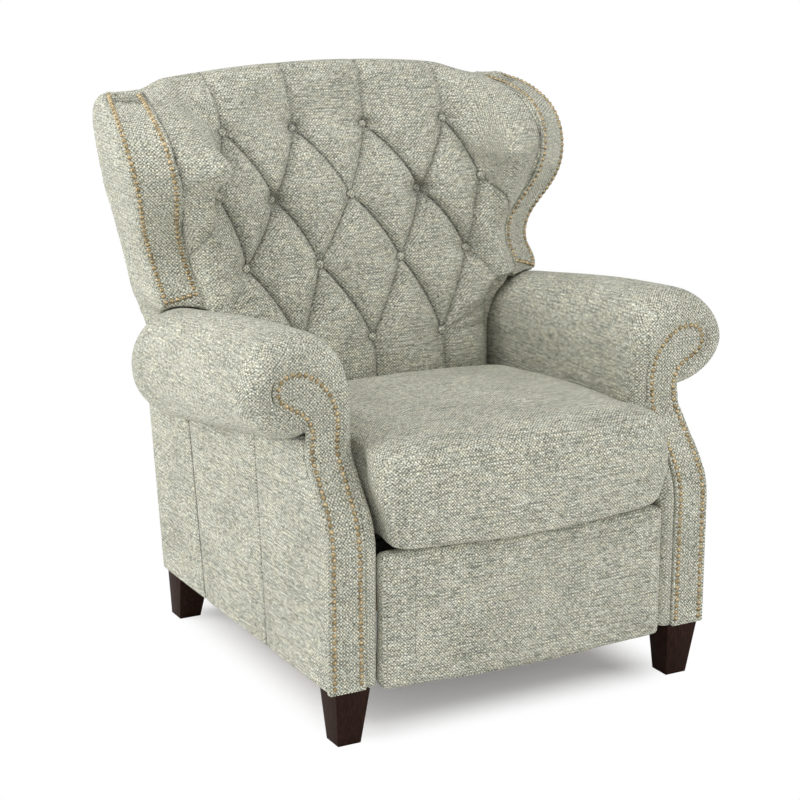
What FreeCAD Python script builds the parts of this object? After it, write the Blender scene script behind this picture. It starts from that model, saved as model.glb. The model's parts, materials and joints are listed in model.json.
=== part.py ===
# Wing-back push-back recliner with rolled arms, tufted back and nail-head trim.
# Millimetres. X runs to the right as seen from the front, -Y is the way a sitter faces, +Z is up.
# The origin lies on the floor under the middle of the chair.
import FreeCAD, Part
import Sketcher
import math
import os
from FreeCAD import Placement, Rotation, Vector

os.makedirs("parts", exist_ok=True)
doc = FreeCAD.newDocument("recliner")

# Driving sizes, each one written once.
SIZES = {
    # base and legs
    "leg_height": 103.0,
    "leg_top_side": 65.0,
    "leg_foot_side": 44.0,
    "leg_spacing_half": 338.5,
    "front_leg_inset": 5.0,
    "rear_leg_rake": 22.0,
    "body_width": 760.0,
    "front_face": -403.0,
    "body_rear": 342.0,
    "rear_edge_slope": 0.161,
    # arms
    "arm_gap": 6.0,
    "arm_pad_thickness": 28.7,
    "arm_edge_radius": 20.0,
    "side_panel_thickness": 12.0,
    "arm_crest_front": 705.0,
    "arm_crest_rear": 656.0,
    "roll_depth_front": 180.0,
    "roll_depth_rear": 209.0,
    "roll_reach": 479.0,
    "roll_centre": 385.0,
    "roll_front": -314.0,
    "roll_front_rounding": 62.0,
    "roll_front_draw": 46.0,
    "roll_full_rear": 180.0,
    "roll_end": 375.0,
    "rail_height": 47.0,
    "post_depth": 45.0,
    "rear_cover_thickness": 6.0,
    # arm facing with its nails
    "facing_thickness": 10.0,
    "facing_inner": 315.0,
    "facing_outer": 381.0,
    "sweep_start": 338.0,
    "sweep_back": 91.0,
    "sweep_angle": 39.0,
    "sweep_low_radius": 130.0,
    "sweep_high_radius": 35.0,
    "scroll_centre_x": 391.0,
    "scroll_centre_z": 602.0,
    "scroll_radius": 44.0,
    "nail_diameter": 9.6,
    "nail_height": 3.4,
    "nail_pitch": 11.9,
    "nail_inset": 8.0,
    # seat
    "cushion_gap": 5.0,
    "cushion_front": -450.0,
    "cushion_rear": 138.0,
    "cushion_bottom": 345.0,
    "cushion_height": 172.0,
    "cushion_crown": 14.0,
    "cushion_corner": 42.0,
    "deck_thickness": 9.0,
    "seat_rail_height": 40.0,
    "seat_rail_thickness": 22.0,
    "seat_frame_front": -330.0,
    "seat_frame_rear": 178.0,
    "spring_wire": 4.0,
    # footrest
    "footrest_gap": 5.0,
    "footrest_top": 333.0,
    "footrest_bottom": 105.0,
    "footrest_pad_depth": 26.0,
    "footrest_board": 12.0,
    "footrest_crown": 14.0,
    "footrest_pivot_y": -342.0,
    "footrest_pivot_z": 300.0,
    "footrest_link": 170.0,
    # steel mechanism
    "mechanism_half": 280.0,
    "plate_thickness": 4.0,
    "link_width": 24.0,
    "link_gap": 1.0,
    "pin_diameter": 9.0,
    "pin_clearance": 0.08,
    "rod_diameter": 12.0,
    "glide_link": 110.0,
    "glide_lean": 40.0,
    "glide_swing": 45.0,
    "back_swing": 32.0,
    "glide_front_y": -185.0,
    "glide_rear_y": 45.0,
    "glide_pivot_z": 190.0,
    "back_pivot_y": 200.0,
    "back_pivot_z": 300.0,
    # back
    "back_gap": 8.0,
    "back_bottom": 340.0,
    "back_front": 146.0,
    "back_post_width": 34.0,
    "back_post_depth": 30.0,
    "webbing_thickness": 2.0,
    "back_panel_thickness": 12.0,
    "back_panel_bottom": 250.0,
    "back_rear_knee": 600.0,
    "back_upper_slope": 0.065,
    "crown_height": 1075.0,
    "crown_drop": 26.0,
    "crown_half": 366.0,
    "crown_depth": 88.0,
    "crown_lap": 42.0,
    "wing_top": 1033.0,
    "tuft_spacing": 160.0,
    "tuft_depth": 26.0,
    "button_diameter": 21.0,
    # wings
    "wing_root_gap": 20.0,
    "wing_cap_reach": 428.0,
    "wing_lap": 12.0,
    "wing_facing_thickness": 6.0,
    "wing_arm_clearance": 8.0,
    # shared clearances
    "clearance": 0.3,
    "rear_panel_top": 200.0,
    "base_rail_thickness": 22.0,
    "front_rail_height": 42.0,
    "front_rail_y": -80.0,
    "rear_rail_height": 62.0,
    "rear_rail_setback": 52.0,
    "lower_panel_thickness": 12.0,
}

# Widths that follow the mechanism: the arms stand beside it, and what lies between them fits them.
FOLLOWING = {
    "arm_inner": "=mechanism_half + arm_gap",
    "cushion_half_width": "=arm_inner - cushion_gap",
    "footrest_half_width": "=arm_inner - footrest_gap",
    "back_lower_half": "=arm_inner - back_gap",
    "wing_root": "=mechanism_half + wing_root_gap",
}

sheet = doc.addObject("Spreadsheet::Sheet", "Sizes")
for row, (name, value) in enumerate(list(SIZES.items()) + list(FOLLOWING.items()), start=1):
    sheet.set("A%d" % row, name)
    sheet.set("B%d" % row, str(value))
    sheet.setAlias("B%d" % row, name)
doc.recompute()


def size(name):
    """A driving size, read from the sheet."""
    return float(sheet.get(name))


clear = size("clearance")
made = []


def keep(thing, label):
    """Give a finished piece its name and put it on the list of pieces."""
    thing.Label = label
    made.append(thing)
    return thing


def board(label, length, width, height, x, y, z):
    """A rectangular member; every argument is an expression on the sheet."""
    box = doc.addObject("Part::Box", label)
    for prop, text in zip(("Length", "Width", "Height"), (length, width, height)):
        box.setExpression(prop, text)
    for axis, text in zip("xyz", (x, y, z)):
        box.setExpression("Placement.Base." + axis, text)
    return keep(box, label)


def mirrored(source, label):
    """The same piece on the other side of the chair's middle plane."""
    copy = doc.addObject("Part::Mirroring", label)
    copy.Source = source
    copy.Normal = Vector(1, 0, 0)
    copy.Base = Vector(0, 0, 0)
    return keep(copy, label)


def formed(label, shape):
    """A piece whose form is worked out below from the sheet's sizes."""
    feature = doc.addObject("Part::Feature", label)
    feature.Shape = shape
    return keep(feature, label)


def pair(name, shape):
    """A right-hand piece and its mirror image on the left."""
    right = formed("right_" + name, shape)
    mirrored(right, "left_" + name)
    return right


# Small geometry helpers.

def line(a, b):
    return Part.LineSegment(a, b).toShape()


def arc(a, b, c):
    return Part.Arc(a, b, c).toShape()


def polygon(points):
    return Part.makePolygon(list(points) + [points[0]])


def prism_x(wire, x0, x1):
    """Extrude an outline drawn in a plane of constant X."""
    face = Part.Face(wire)
    face.translate(Vector(x0, 0, 0))
    return face.extrude(Vector(x1 - x0, 0, 0))


def prism_y(wire, y0, y1):
    """Extrude an outline drawn in a plane of constant Y."""
    face = Part.Face(wire)
    face.translate(Vector(0, y0, 0))
    return face.extrude(Vector(0, y1 - y0, 0))


def block(x0, x1, y0, y1, z0, z1):
    return Part.makeBox(x1 - x0, y1 - y0, z1 - z0, Vector(x0, y0, z0))


# The arm: its front sweeps back in an S, and its padded roll drops towards the rear.

front = size("front_face")
floor_gap = size("leg_height")
half_body = size("body_width") / 2.0
panel = size("side_panel_thickness")
inner_pad = size("arm_inner") + size("arm_pad_thickness")


def rear_edge(z):
    """The slanted rear edge of the arms and of the lower back."""
    return size("body_rear") + size("rear_edge_slope") * (z - floor_gap)


def sweep_edges(setback, top):
    """The S-shaped front of an arm, in a plane of constant X, from the bottom up to `top`."""
    turn = math.radians(size("sweep_angle"))
    low = size("sweep_low_radius") - setback
    high = size("sweep_high_radius") + setback
    y0 = front + setback
    z0 = size("sweep_start")
    p1 = Vector(0, y0, z0)
    m1 = Vector(0, y0 + low * (1 - math.cos(turn / 2)), z0 + low * math.sin(turn / 2))
    p2 = Vector(0, y0 + low * (1 - math.cos(turn)), z0 + low * math.sin(turn))
    y3 = front + size("sweep_back") + setback
    run = (y3 - high * (1 - math.cos(turn)) - p2.y) / math.sin(turn)
    p3 = Vector(0, p2.y + run * math.sin(turn), p2.z + run * math.cos(turn))
    m3 = Vector(0, y3 - high * (1 - math.cos(turn / 2)), p3.z + high * (math.sin(turn) - math.sin(turn / 2)))
    p4 = Vector(0, y3, p3.z + high * math.sin(turn))
    start = Vector(0, y0, floor_gap)
    end = Vector(0, y3, top)
    return [line(start, p1), arc(p1, m1, p2), line(p2, p3), arc(p3, m3, p4), line(p4, end)]


def crest(y):
    """Height of the roll's crest at a depth."""
    slope = (size("arm_crest_rear") - size("arm_crest_front")) / (size("roll_full_rear") - size("roll_front"))
    return size("arm_crest_front") + slope * (y - size("roll_front"))


def roll_bottom(y):
    """Height of the roll's underside at a depth, level once past its straight stretch."""
    span = size("roll_full_rear") - size("roll_front")
    share = min(max((y - size("roll_front")) / span, 0.0), 1.0)
    depth = size("roll_depth_front") + share * (size("roll_depth_rear") - size("roll_depth_front"))
    return crest(min(y, size("roll_full_rear"))) - depth


def roll_section(y, draw, inner, outer, top, bottom, grow):
    """One oval section of the roll; `draw` pulls it in towards the facing and `grow` swells it."""
    inner, outer = inner + 0.5 * draw - grow, outer - 0.6 * draw + grow
    top, bottom = top - 1.15 * draw + grow, bottom + 0.75 * draw - grow
    middle_x = min(size("roll_centre"), 0.5 * (inner + outer))
    middle_z = bottom + 0.485 * (top - bottom)
    k = math.sqrt(0.5)
    left, right = Vector(inner, y, middle_z), Vector(outer, y, middle_z)
    high, low = Vector(middle_x, y, top), Vector(middle_x, y, bottom)

    def corner(a, b):
        """The point half way round a quarter oval from side point a to end point b."""
        return Vector(middle_x + (a.x - middle_x) * k, y, middle_z + (b.z - middle_z) * k)

    return Part.Wire([arc(left, corner(left, high), high), arc(high, corner(right, high), right),
                      arc(right, corner(right, low), low), arc(low, corner(left, low), left)])


def roll_solid(grow=0.0):
    """The padded roll: rounded over at the front, straight, and tapered like a bullet at the rear."""
    y_front, y_rear, y_end = size("roll_front"), size("roll_full_rear"), size("roll_end")
    round_front = size("roll_front_rounding")
    pull = size("roll_front_draw")
    inner, outer = size("arm_inner"), size("roll_reach")
    nose, tail = [], []
    for share in (0.0, 0.06, 0.25, 0.6, 1.0):
        y = y_front + share * round_front
        draw = pull * (1.0 - math.sqrt(1.0 - (1.0 - share) ** 2))
        if share == 0.0:
            y -= grow
        nose.append(roll_section(y, draw, inner, outer, crest(y), roll_bottom(y), grow))
    body = [nose[-1], roll_section(y_rear, 0.0, inner, outer, crest(y_rear), roll_bottom(y_rear), grow)]
    for share in (0.0, 0.35, 0.62, 0.82, 0.95):
        y = y_rear + share * (y_end - y_rear)
        swell = math.sqrt(1.0 - share ** 2)
        taper_outer = inner + 14.0 + (outer - inner - 14.0) * swell
        taper_top = roll_bottom(y) + 95.0 + (crest(y) - roll_bottom(y) - 95.0) * swell
        if share == 0.95:
            y += grow
        tail.append(roll_section(y, 0.0, inner, taper_outer, taper_top, roll_bottom(y), grow))
    solids = [Part.makeLoft(nose, True, False), Part.makeLoft(body, True, True), Part.makeLoft(tail, True, False)]
    return solids[0].fuse(solids[1:]).removeSplitter()


def facing_outline():
    """The front panel's outline seen from the front: a leg that ends in a scroll."""
    x_in, x_out = size("facing_inner"), size("facing_outer")
    cx, cz, r = size("scroll_centre_x"), size("scroll_centre_z"), size("scroll_radius")
    P = lambda x, z: Vector(x, 0, z)
    neck = P(x_out - 6.0, cz - 2.0 * r)
    under = P(cx - 0.05 * r, cz - 0.86 * r)
    tip = P(cx + 0.69 * r, cz - 0.43 * r)
    top = P(cx + 0.02 * r, cz + 0.99 * r)
    shoulder = P(cx - 0.57 * r, cz + 0.86 * r)
    waist = P(x_in - 3.5, cz - 1.65 * r)
    knee = P(x_in + 2.0, size("sweep_start") + 30.0)
    return Part.Wire([
        line(P(x_in, floor_gap), P(x_out, floor_gap)),
        line(P(x_out, floor_gap), P(x_out, size("sweep_start") + 30.0)),
        line(P(x_out, size("sweep_start") + 30.0), neck),
        arc(neck, P(neck.x + 5.0, cz - 1.1 * r), under),
        line(under, tip),
        arc(tip, P(cx + r, cz + 0.2 * r), top),
        arc(top, P(cx - 0.28 * r, cz + 0.97 * r), shoulder),
        arc(shoulder, P(cx - 1.43 * r, cz + 0.06 * r), waist),
        line(waist, knee),
        line(knee, P(x_in, floor_gap)),
    ])


def swept_plate(setback, thickness, top):
    """A plate that follows the arm's S-shaped front, as wide as the whole arm."""
    near = sweep_edges(setback, top)
    far = sweep_edges(setback + thickness, top)
    bottom = line(near[0].Vertexes[0].Point, far[0].Vertexes[0].Point)
    lid = line(near[-1].Vertexes[-1].Point, far[-1].Vertexes[-1].Point)
    wire = Part.Wire(Part.__sortEdges__(near + far + [bottom, lid]))
    return prism_x(wire, 0.0, size("roll_reach"))


scroll_top = size("arm_crest_front")
facing_slab = swept_plate(0.0, size("facing_thickness"), scroll_top)
facing = facing_slab.common(prism_y(facing_outline(), front - 20.0, front + 200.0))
pair("arm_facing", facing)

# The facing's bed is the same plate, a clearance larger all round and open to the front.
bed_reach = 12.0
bed = swept_plate(-bed_reach, size("facing_thickness") + bed_reach + clear, scroll_top)
bed_outline = facing_outline().makeOffset2D(clear)
facing_bed = bed.common(prism_y(bed_outline, front - 20.0, front + 200.0))

setback_face = size("facing_thickness") + clear


def side_prism(points, x0, x1):
    """Extrude a straight-sided outline given as (y, z) pairs between two X planes."""
    return prism_x(polygon([Vector(0, y, z) for y, z in points]), x0, x1)


def under_roll(y):
    """The highest that anything below the roll may reach at a depth."""
    return roll_bottom(y) - clear


# Arm padding: the roll with the padded inner face that hangs from it.
inner_face = size("arm_inner")
border = 45.0
slab_front = sweep_edges(2.0, size("scroll_centre_z") + 8.0)
slab_rear = size("roll_full_rear")
slab_low = size("cushion_bottom") - size("deck_thickness") - 3.0
slab_end = rear_edge(slab_low) - size("rear_cover_thickness") - clear - 14.0
slab_points = [slab_front[-1].Vertexes[-1].Point,
               Vector(0, slab_rear, 0.5 * (crest(slab_rear) + roll_bottom(slab_rear))),
               Vector(0, slab_end, roll_bottom(slab_rear) + 30.0),
               Vector(0, slab_end, slab_low),
               Vector(0, front + border, slab_low),
               Vector(0, front + border, floor_gap),
               slab_front[0].Vertexes[0].Point]
slab_edges = slab_front + [line(a, b) for a, b in zip(slab_points[:-1], slab_points[1:])]
slab = prism_x(Part.Wire(slab_edges), inner_face, inner_pad)
rim = [edge for edge in slab.Edges
       if all(abs(v.X - inner_face) < 0.01 and v.Y < slab_points[0].y + 0.01 for v in edge.Vertexes)
       and max(v.Y for v in edge.Vertexes) < front + size("sweep_back") + 3.0
       and abs(edge.Vertexes[0].Z - edge.Vertexes[-1].Z) > 5.0]
slab = slab.makeFillet(size("arm_edge_radius"), rim)
roll = roll_solid()
arm_pad = roll.fuse(slab).cut(facing_bed)
pair("arm_pad", arm_pad)

# Side panel: a padded board that follows the swept front and the raked rear edge.
panel_front = sweep_edges(setback_face, under_roll(front + size("sweep_back") + setback_face))
panel_points = [panel_front[-1].Vertexes[-1].Point,
                Vector(0, size("roll_full_rear"), under_roll(size("roll_full_rear"))),
                Vector(0, rear_edge(under_roll(300.0)), under_roll(300.0)),
                Vector(0, rear_edge(floor_gap), floor_gap),
                panel_front[0].Vertexes[0].Point]
panel_edges = panel_front + [line(a, b) for a, b in zip(panel_points[:-1], panel_points[1:])]
pair("side_panel", prism_x(Part.Wire(panel_edges), half_body - panel, half_body))

# Arm frame: swept front post, raked rear post, bottom rail and sloped arm rail, glued together.
frame_in = inner_pad + clear
frame_out = half_body - panel - clear
post = size("post_depth")
rail = size("rail_height")
cover = size("rear_cover_thickness")
post_top = under_roll(front + size("sweep_back") + setback_face + post)
near = sweep_edges(setback_face, post_top)
far = sweep_edges(setback_face + post, post_top)
ends = [line(near[0].Vertexes[0].Point, far[0].Vertexes[0].Point),
        line(near[-1].Vertexes[-1].Point, far[-1].Vertexes[-1].Point)]
front_post = prism_x(Part.Wire(Part.__sortEdges__(near + far + ends)), frame_in, frame_out)
y_low = front + setback_face + post
y_high = y_low + size("sweep_back")
back_of_post = cover + clear
rear_top = under_roll(300.0)
rear_post = side_prism([(rear_edge(floor_gap) - back_of_post - post, floor_gap),
                        (rear_edge(floor_gap) - back_of_post, floor_gap),
                        (rear_edge(rear_top) - back_of_post, rear_top),
                        (rear_edge(rear_top) - back_of_post - post, rear_top)], frame_in, frame_out)
bottom_rail = side_prism([(y_low, floor_gap),
                          (rear_edge(floor_gap) - back_of_post - post, floor_gap),
                          (rear_edge(floor_gap + rail) - back_of_post - post, floor_gap + rail),
                          (y_low, floor_gap + rail)], frame_in, frame_out)
y_rail_end = rear_edge(rear_top - rail) - back_of_post - post
arm_rail = side_prism([(y_high, under_roll(y_high)),
                       (size("roll_full_rear"), under_roll(size("roll_full_rear"))),
                       (rear_edge(rear_top) - back_of_post - post, rear_top),
                       (y_rail_end, rear_top - rail),
                       (size("roll_full_rear"), under_roll(size("roll_full_rear")) - rail),
                       (y_high, under_roll(y_high) - rail)], frame_in, frame_out)
pair("arm_frame", Part.makeCompound([front_post, rear_post, bottom_rail, arm_rail]))

rear_cover = side_prism([(rear_edge(floor_gap) - cover, floor_gap),
                         (rear_edge(floor_gap), floor_gap),
                         (rear_edge(rear_top), rear_top),
                         (rear_edge(rear_top) - cover, rear_top)], inner_face, half_body - panel - clear)
pair("arm_rear_cover", rear_cover)

# Nails: domed heads set along the facing, an even inset from its edge.

def nail(at, normal):
    """A domed nail head that sits on a surface."""
    radius, height = size("nail_diameter") / 2.0, size("nail_height")
    ball = (radius ** 2 + height ** 2) / (2 * height)
    dome = Part.makeSphere(ball, Vector(0, 0, height - ball), Vector(0, 0, 1))
    head = dome.common(Part.makeCylinder(radius, height, Vector(0, 0, 0)))
    turn = Rotation(Vector(0, 0, 1), normal)
    head.Placement = Placement(at + normal * clear, turn)
    return head


def front_skin(shape):
    """The faces of a facing that look forwards, without its narrow edges."""
    return [face for face in shape.Faces
            if face.Area > 300.0 and face.normalAt(*face.Surface.parameter(face.CenterOfMass)).y < -0.2]


def nails_on(skin, places):
    """Nail heads on the nearest point of a skin for each place."""
    heads = []
    for place in places:
        vertex = Part.Vertex(place)
        face = min(skin, key=lambda candidate: candidate.distToShape(vertex)[0])
        at = face.distToShape(vertex)[1][0][0]
        heads.append(nail(at, face.normalAt(*face.Surface.parameter(at))))
    return Part.makeCompound(heads)


def sweep_depth(z):
    """How far back the facing's front lies at a height."""
    wire = Part.Wire(sweep_edges(0.0, scroll_top))
    ray = line(Vector(0, front - 50.0, z), Vector(0, front + 300.0, z))
    return wire.distToShape(ray)[1][0][0].y


nail_row = facing_outline().makeOffset2D(-size("nail_inset"))
bottom_z = floor_gap + size("nail_inset") + 0.5
row_points = []
for point in nail_row.discretize(Distance=2.0):
    if point.z > bottom_z:
        row_points.append(Vector(point.x, sweep_depth(point.z), point.z))
start = next(i for i in range(len(row_points)) if (row_points[i] - row_points[i - 1]).Length > 20.0)
row_points = row_points[start:] + row_points[:start]
places = [row_points[0]]
travelled = 0.0
for a, b in zip(row_points[:-1], row_points[1:]):
    travelled += (b - a).Length
    if travelled >= size("nail_pitch"):
        places.append(b)
        travelled -= size("nail_pitch")
pair("arm_nails", nails_on(front_skin(facing), places))

# Legs: square tapers; the rear pair rakes backwards.

def tapered_leg(label, top_y, rake):
    """A square leg lofted from its foot to its wider top."""
    body = doc.addObject("PartDesign::Body", label)
    plane = next(f for f in body.Origin.OriginFeatures if f.Role == "XY_Plane")
    sections = []
    for side, lift in (("leg_foot_side", "0"), ("leg_top_side", "Sizes.leg_height")):
        sketch = body.newObject("Sketcher::SketchObject", label + "_" + side)
        sketch.AttachmentSupport = [(plane, "")]
        sketch.MapMode = "FlatFace"
        half = size(side) / 2.0
        corners = [Vector(-half, -half, 0), Vector(half, -half, 0), Vector(half, half, 0), Vector(-half, half, 0)]
        for k in range(4):
            sketch.addGeometry(Part.LineSegment(corners[k], corners[(k + 1) % 4]), False)
        for k in range(4):
            sketch.addConstraint(Sketcher.Constraint("Coincident", k, 2, (k + 1) % 4, 1))
        for k in (0, 2):
            sketch.addConstraint(Sketcher.Constraint("Horizontal", k))
            sketch.addConstraint(Sketcher.Constraint("Vertical", k + 1))
        sketch.addConstraint(Sketcher.Constraint("Symmetric", 0, 1, 1, 2, -1, 1))
        width = sketch.addConstraint(Sketcher.Constraint("DistanceX", 0, 1, 0, 2, size(side)))
        depth = sketch.addConstraint(Sketcher.Constraint("DistanceY", 1, 1, 1, 2, size(side)))
        sketch.setExpression("Constraints[%d]" % width, "Sizes." + side)
        sketch.setExpression("Constraints[%d]" % depth, "Sizes." + side)
        sketch.setExpression("AttachmentOffset.Base.z", lift)
        if side == "leg_foot_side":
            sketch.setExpression("AttachmentOffset.Base.y", rake)
        sections.append(sketch)
    loft = body.newObject("PartDesign::AdditiveLoft", label + "_loft")
    loft.Profile = sections[0]
    loft.Sections = [sections[1]]
    loft.Ruled = True
    body.setExpression("Placement.Base.x", "Sizes.leg_spacing_half")
    body.setExpression("Placement.Base.y", top_y)
    return keep(body, label)


front_leg = tapered_leg("right_front_leg", "Sizes.front_face + Sizes.leg_top_side / 2", "Sizes.front_leg_inset")
rear_leg = tapered_leg("right_rear_leg", "Sizes.body_rear - Sizes.leg_top_side / 2", "Sizes.rear_leg_rake")
mirrored(front_leg, "left_front_leg")
mirrored(rear_leg, "left_rear_leg")

# Base rails between the two arms.
span = "2 * (Sizes.arm_inner + Sizes.arm_pad_thickness + Sizes.clearance)"
half_span = "-(Sizes.arm_inner + Sizes.arm_pad_thickness + Sizes.clearance)"
board_face = "(Sizes.mechanism_half + 3 * Sizes.plate_thickness + 2 * Sizes.link_gap)"
board("base_front_rail", "2 * " + board_face, "Sizes.base_rail_thickness", "Sizes.front_rail_height",
      "-" + board_face, "Sizes.front_rail_y", "Sizes.leg_height")
board("base_rear_rail", span, "Sizes.base_rail_thickness", "Sizes.rear_rail_height", half_span,
      "Sizes.body_rear - Sizes.rear_rail_setback", "Sizes.leg_height")
board("lower_rear_panel", "2 * Sizes.arm_inner - 1", "Sizes.lower_panel_thickness",
      "Sizes.rear_panel_top - Sizes.leg_height", "-(Sizes.arm_inner - 0.5)",
      "Sizes.body_rear - Sizes.rear_rail_setback + Sizes.base_rail_thickness + Sizes.clearance",
      "Sizes.leg_height")

# Mechanism: steel plates on mounting boards carry the seat on two pairs of equal swing links.

def group(label, things):
    """Several like solids that share one name."""
    compound = doc.addObject("Part::Compound", label)
    compound.Links = things
    return keep(compound, label)


def reflected(source):
    """The mirror image of a piece, for a group that holds both."""
    copy = doc.addObject("Part::Mirroring", source.Name + "_mirror")
    copy.Source = source
    copy.Normal = Vector(1, 0, 0)
    copy.Base = Vector(0, 0, 0)
    return copy


def side_sketch(body, name):
    """An empty sketch on the body's own YZ plane: sketch x is depth, sketch y is height."""
    sketch = body.newObject("Sketcher::SketchObject", name)
    sketch.AttachmentSupport = [(next(f for f in body.Origin.OriginFeatures if f.Role == "YZ_Plane"), "")]
    sketch.MapMode = "FlatFace"
    return sketch


def steel_link(name, reach, bores, x, y, z, lean="0"):
    """A flat link with round ends and a hole at each; it stands up from its first hole, then leans back."""
    body = doc.addObject("PartDesign::Body", name)
    sketch = side_sketch(body, name + "_outline")
    half, far = size("link_width") / 2.0, size(reach)
    sketch.addGeometry(Part.LineSegment(Vector(-half, 0, 0), Vector(-half, far, 0)), False)
    sketch.addGeometry(Part.ArcOfCircle(Part.Circle(Vector(0, far, 0), Vector(0, 0, 1), half), 0, math.pi), False)
    sketch.addGeometry(Part.LineSegment(Vector(half, far, 0), Vector(half, 0, 0)), False)
    sketch.addGeometry(Part.ArcOfCircle(Part.Circle(Vector(0, 0, 0), Vector(0, 0, 1), half), math.pi, 2 * math.pi),
                       False)
    for centre in (Vector(0, 0, 0), Vector(0, far, 0)):
        sketch.addGeometry(Part.Circle(centre, Vector(0, 0, 1), 4.0), False)
    add = lambda *parts: sketch.addConstraint(Sketcher.Constraint(*parts))
    add("Tangent", 0, 2, 1, 2)
    add("Tangent", 1, 1, 2, 1)
    add("Tangent", 2, 2, 3, 2)
    add("Tangent", 3, 1, 0, 1)
    add("Vertical", 0)
    add("Coincident", 3, 3, -1, 1)
    add("Coincident", 4, 3, -1, 1)
    add("Coincident", 5, 3, 1, 3)
    sizes = [(add("DistanceY", -1, 1, 1, 3, far), "Sizes." + reach),
             (add("Radius", 3, half), "Sizes.link_width / 2"),
             (add("Diameter", 4, 8.0), bores[0]),
             (add("Diameter", 5, 8.0), bores[1])]
    for index, text in sizes:
        sketch.setExpression("Constraints[%d]" % index, text)
    pad = body.newObject("PartDesign::Pad", name + "_pad")
    pad.Profile = sketch
    pad.setExpression("Length", "Sizes.plate_thickness")
    body.Placement = Placement(Vector(0, 0, 0), Rotation(Vector(-1, 0, 0), 10))
    body.setExpression("Placement.Rotation.Angle", lean)
    for axis, text in zip("xyz", (x, y, z)):
        body.setExpression("Placement.Base." + axis, text)
    return body


def steel_plate(name, y0, y1, z0, z1, holes, x):
    """A flat plate standing fore and aft, with holes given as (depth, height, diameter)."""
    body = doc.addObject("PartDesign::Body", name)
    sketch = side_sketch(body, name + "_outline")
    corners = [Vector(0, 0, 0), Vector(10, 0, 0), Vector(10, 10, 0), Vector(0, 10, 0)]
    for k in range(4):
        sketch.addGeometry(Part.LineSegment(corners[k], corners[(k + 1) % 4]), False)
    add = lambda *parts: sketch.addConstraint(Sketcher.Constraint(*parts))
    for k in range(4):
        add("Coincident", k, 2, (k + 1) % 4, 1)
    for k in (0, 2):
        add("Horizontal", k)
        add("Vertical", k + 1)
    add("Coincident", 0, 1, -1, 1)
    sizes = [(add("DistanceX", 0, 1, 0, 2, 10.0), "(%s) - (%s)" % (y1, y0)),
             (add("DistanceY", 1, 1, 1, 2, 10.0), "(%s) - (%s)" % (z1, z0))]
    for depth, height, bore in holes:
        index = sketch.addGeometry(Part.Circle(Vector(5, 5, 0), Vector(0, 0, 1), 2.0), False)
        sizes.append((add("DistanceX", -1, 1, index, 3, 5.0), "(%s) - (%s)" % (depth, y0)))
        sizes.append((add("DistanceY", -1, 1, index, 3, 5.0), "(%s) - (%s)" % (height, z0)))
        sizes.append((add("Diameter", index, 4.0), bore))
    for index, text in sizes:
        sketch.setExpression("Constraints[%d]" % index, text)
    pad = body.newObject("PartDesign::Pad", name + "_pad")
    pad.Profile = sketch
    pad.setExpression("Length", "Sizes.plate_thickness")
    for axis, text in zip("xyz", (x, y0, z0)):
        body.setExpression("Placement.Base." + axis, text)
    return keep(body, name)


def pin(name, x0, x1, y, z, diameter="Sizes.pin_diameter"):
    """A round pin or rod that lies across the chair."""
    cylinder = doc.addObject("Part::Cylinder", name)
    cylinder.setExpression("Radius", "%s / 2" % diameter)
    cylinder.setExpression("Height", "(%s) - (%s)" % (x1, x0))
    cylinder.Placement = Placement(Vector(0, 0, 0), Rotation(Vector(0, 1, 0), 90))
    for axis, text in zip("xyz", (x0, y, z)):
        cylinder.setExpression("Placement.Base." + axis, text)
    return cylinder


# Layers across the chair, from the seat's side rails out to the arm frames, as expressions.
rail_outer = "(Sizes.mechanism_half)"
seat_plate_x = rail_outer
glide_x = "(Sizes.mechanism_half + Sizes.plate_thickness + Sizes.link_gap)"
base_plate_x = "(Sizes.mechanism_half + 2 * Sizes.plate_thickness + 2 * Sizes.link_gap)"
base_plate_outer = "(Sizes.mechanism_half + 3 * Sizes.plate_thickness + 2 * Sizes.link_gap)"
frame_face = "(Sizes.arm_inner + Sizes.arm_pad_thickness + Sizes.clearance)"
lift_y = "Sizes.glide_link * sin(Sizes.glide_lean * 1 deg)"
lift_z = "Sizes.glide_link * cos(Sizes.glide_lean * 1 deg)"
pin_bore = "Sizes.pin_diameter + 2 * Sizes.pin_clearance"
rod_bore = "Sizes.rod_diameter + 2 * Sizes.pin_clearance"
front_hinge_y = "Sizes.glide_front_y + " + lift_y
rear_hinge_y = "Sizes.glide_rear_y + " + lift_y
glide_top_z = "Sizes.glide_pivot_z + " + lift_z

mount = board("right_mounting_board", frame_face + " - " + base_plate_outer,
              "Sizes.glide_rear_y - Sizes.glide_front_y + 70", "Sizes.glide_pivot_z - Sizes.leg_height + 35",
              base_plate_outer, "Sizes.glide_front_y - 35", "Sizes.leg_height")
mirrored(mount, "left_mounting_board")
base_plate = steel_plate("right_base_plate", "Sizes.glide_front_y - 30", "Sizes.glide_rear_y + 30",
                         "Sizes.glide_pivot_z - 40", "Sizes.glide_pivot_z + 30",
                         [("Sizes.glide_front_y", "Sizes.glide_pivot_z", pin_bore),
                          ("Sizes.glide_rear_y", "Sizes.glide_pivot_z", pin_bore)], base_plate_x)
mirrored(base_plate, "left_base_plate")
glide_pins = [pin("glide_pin_" + place, glide_x, base_plate_outer + " - 0.2", y, "Sizes.glide_pivot_z")
              for place, y in (("front", "Sizes.glide_front_y"), ("rear", "Sizes.glide_rear_y"))]
group("glide_pins", glide_pins + [reflected(one) for one in glide_pins])
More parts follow.
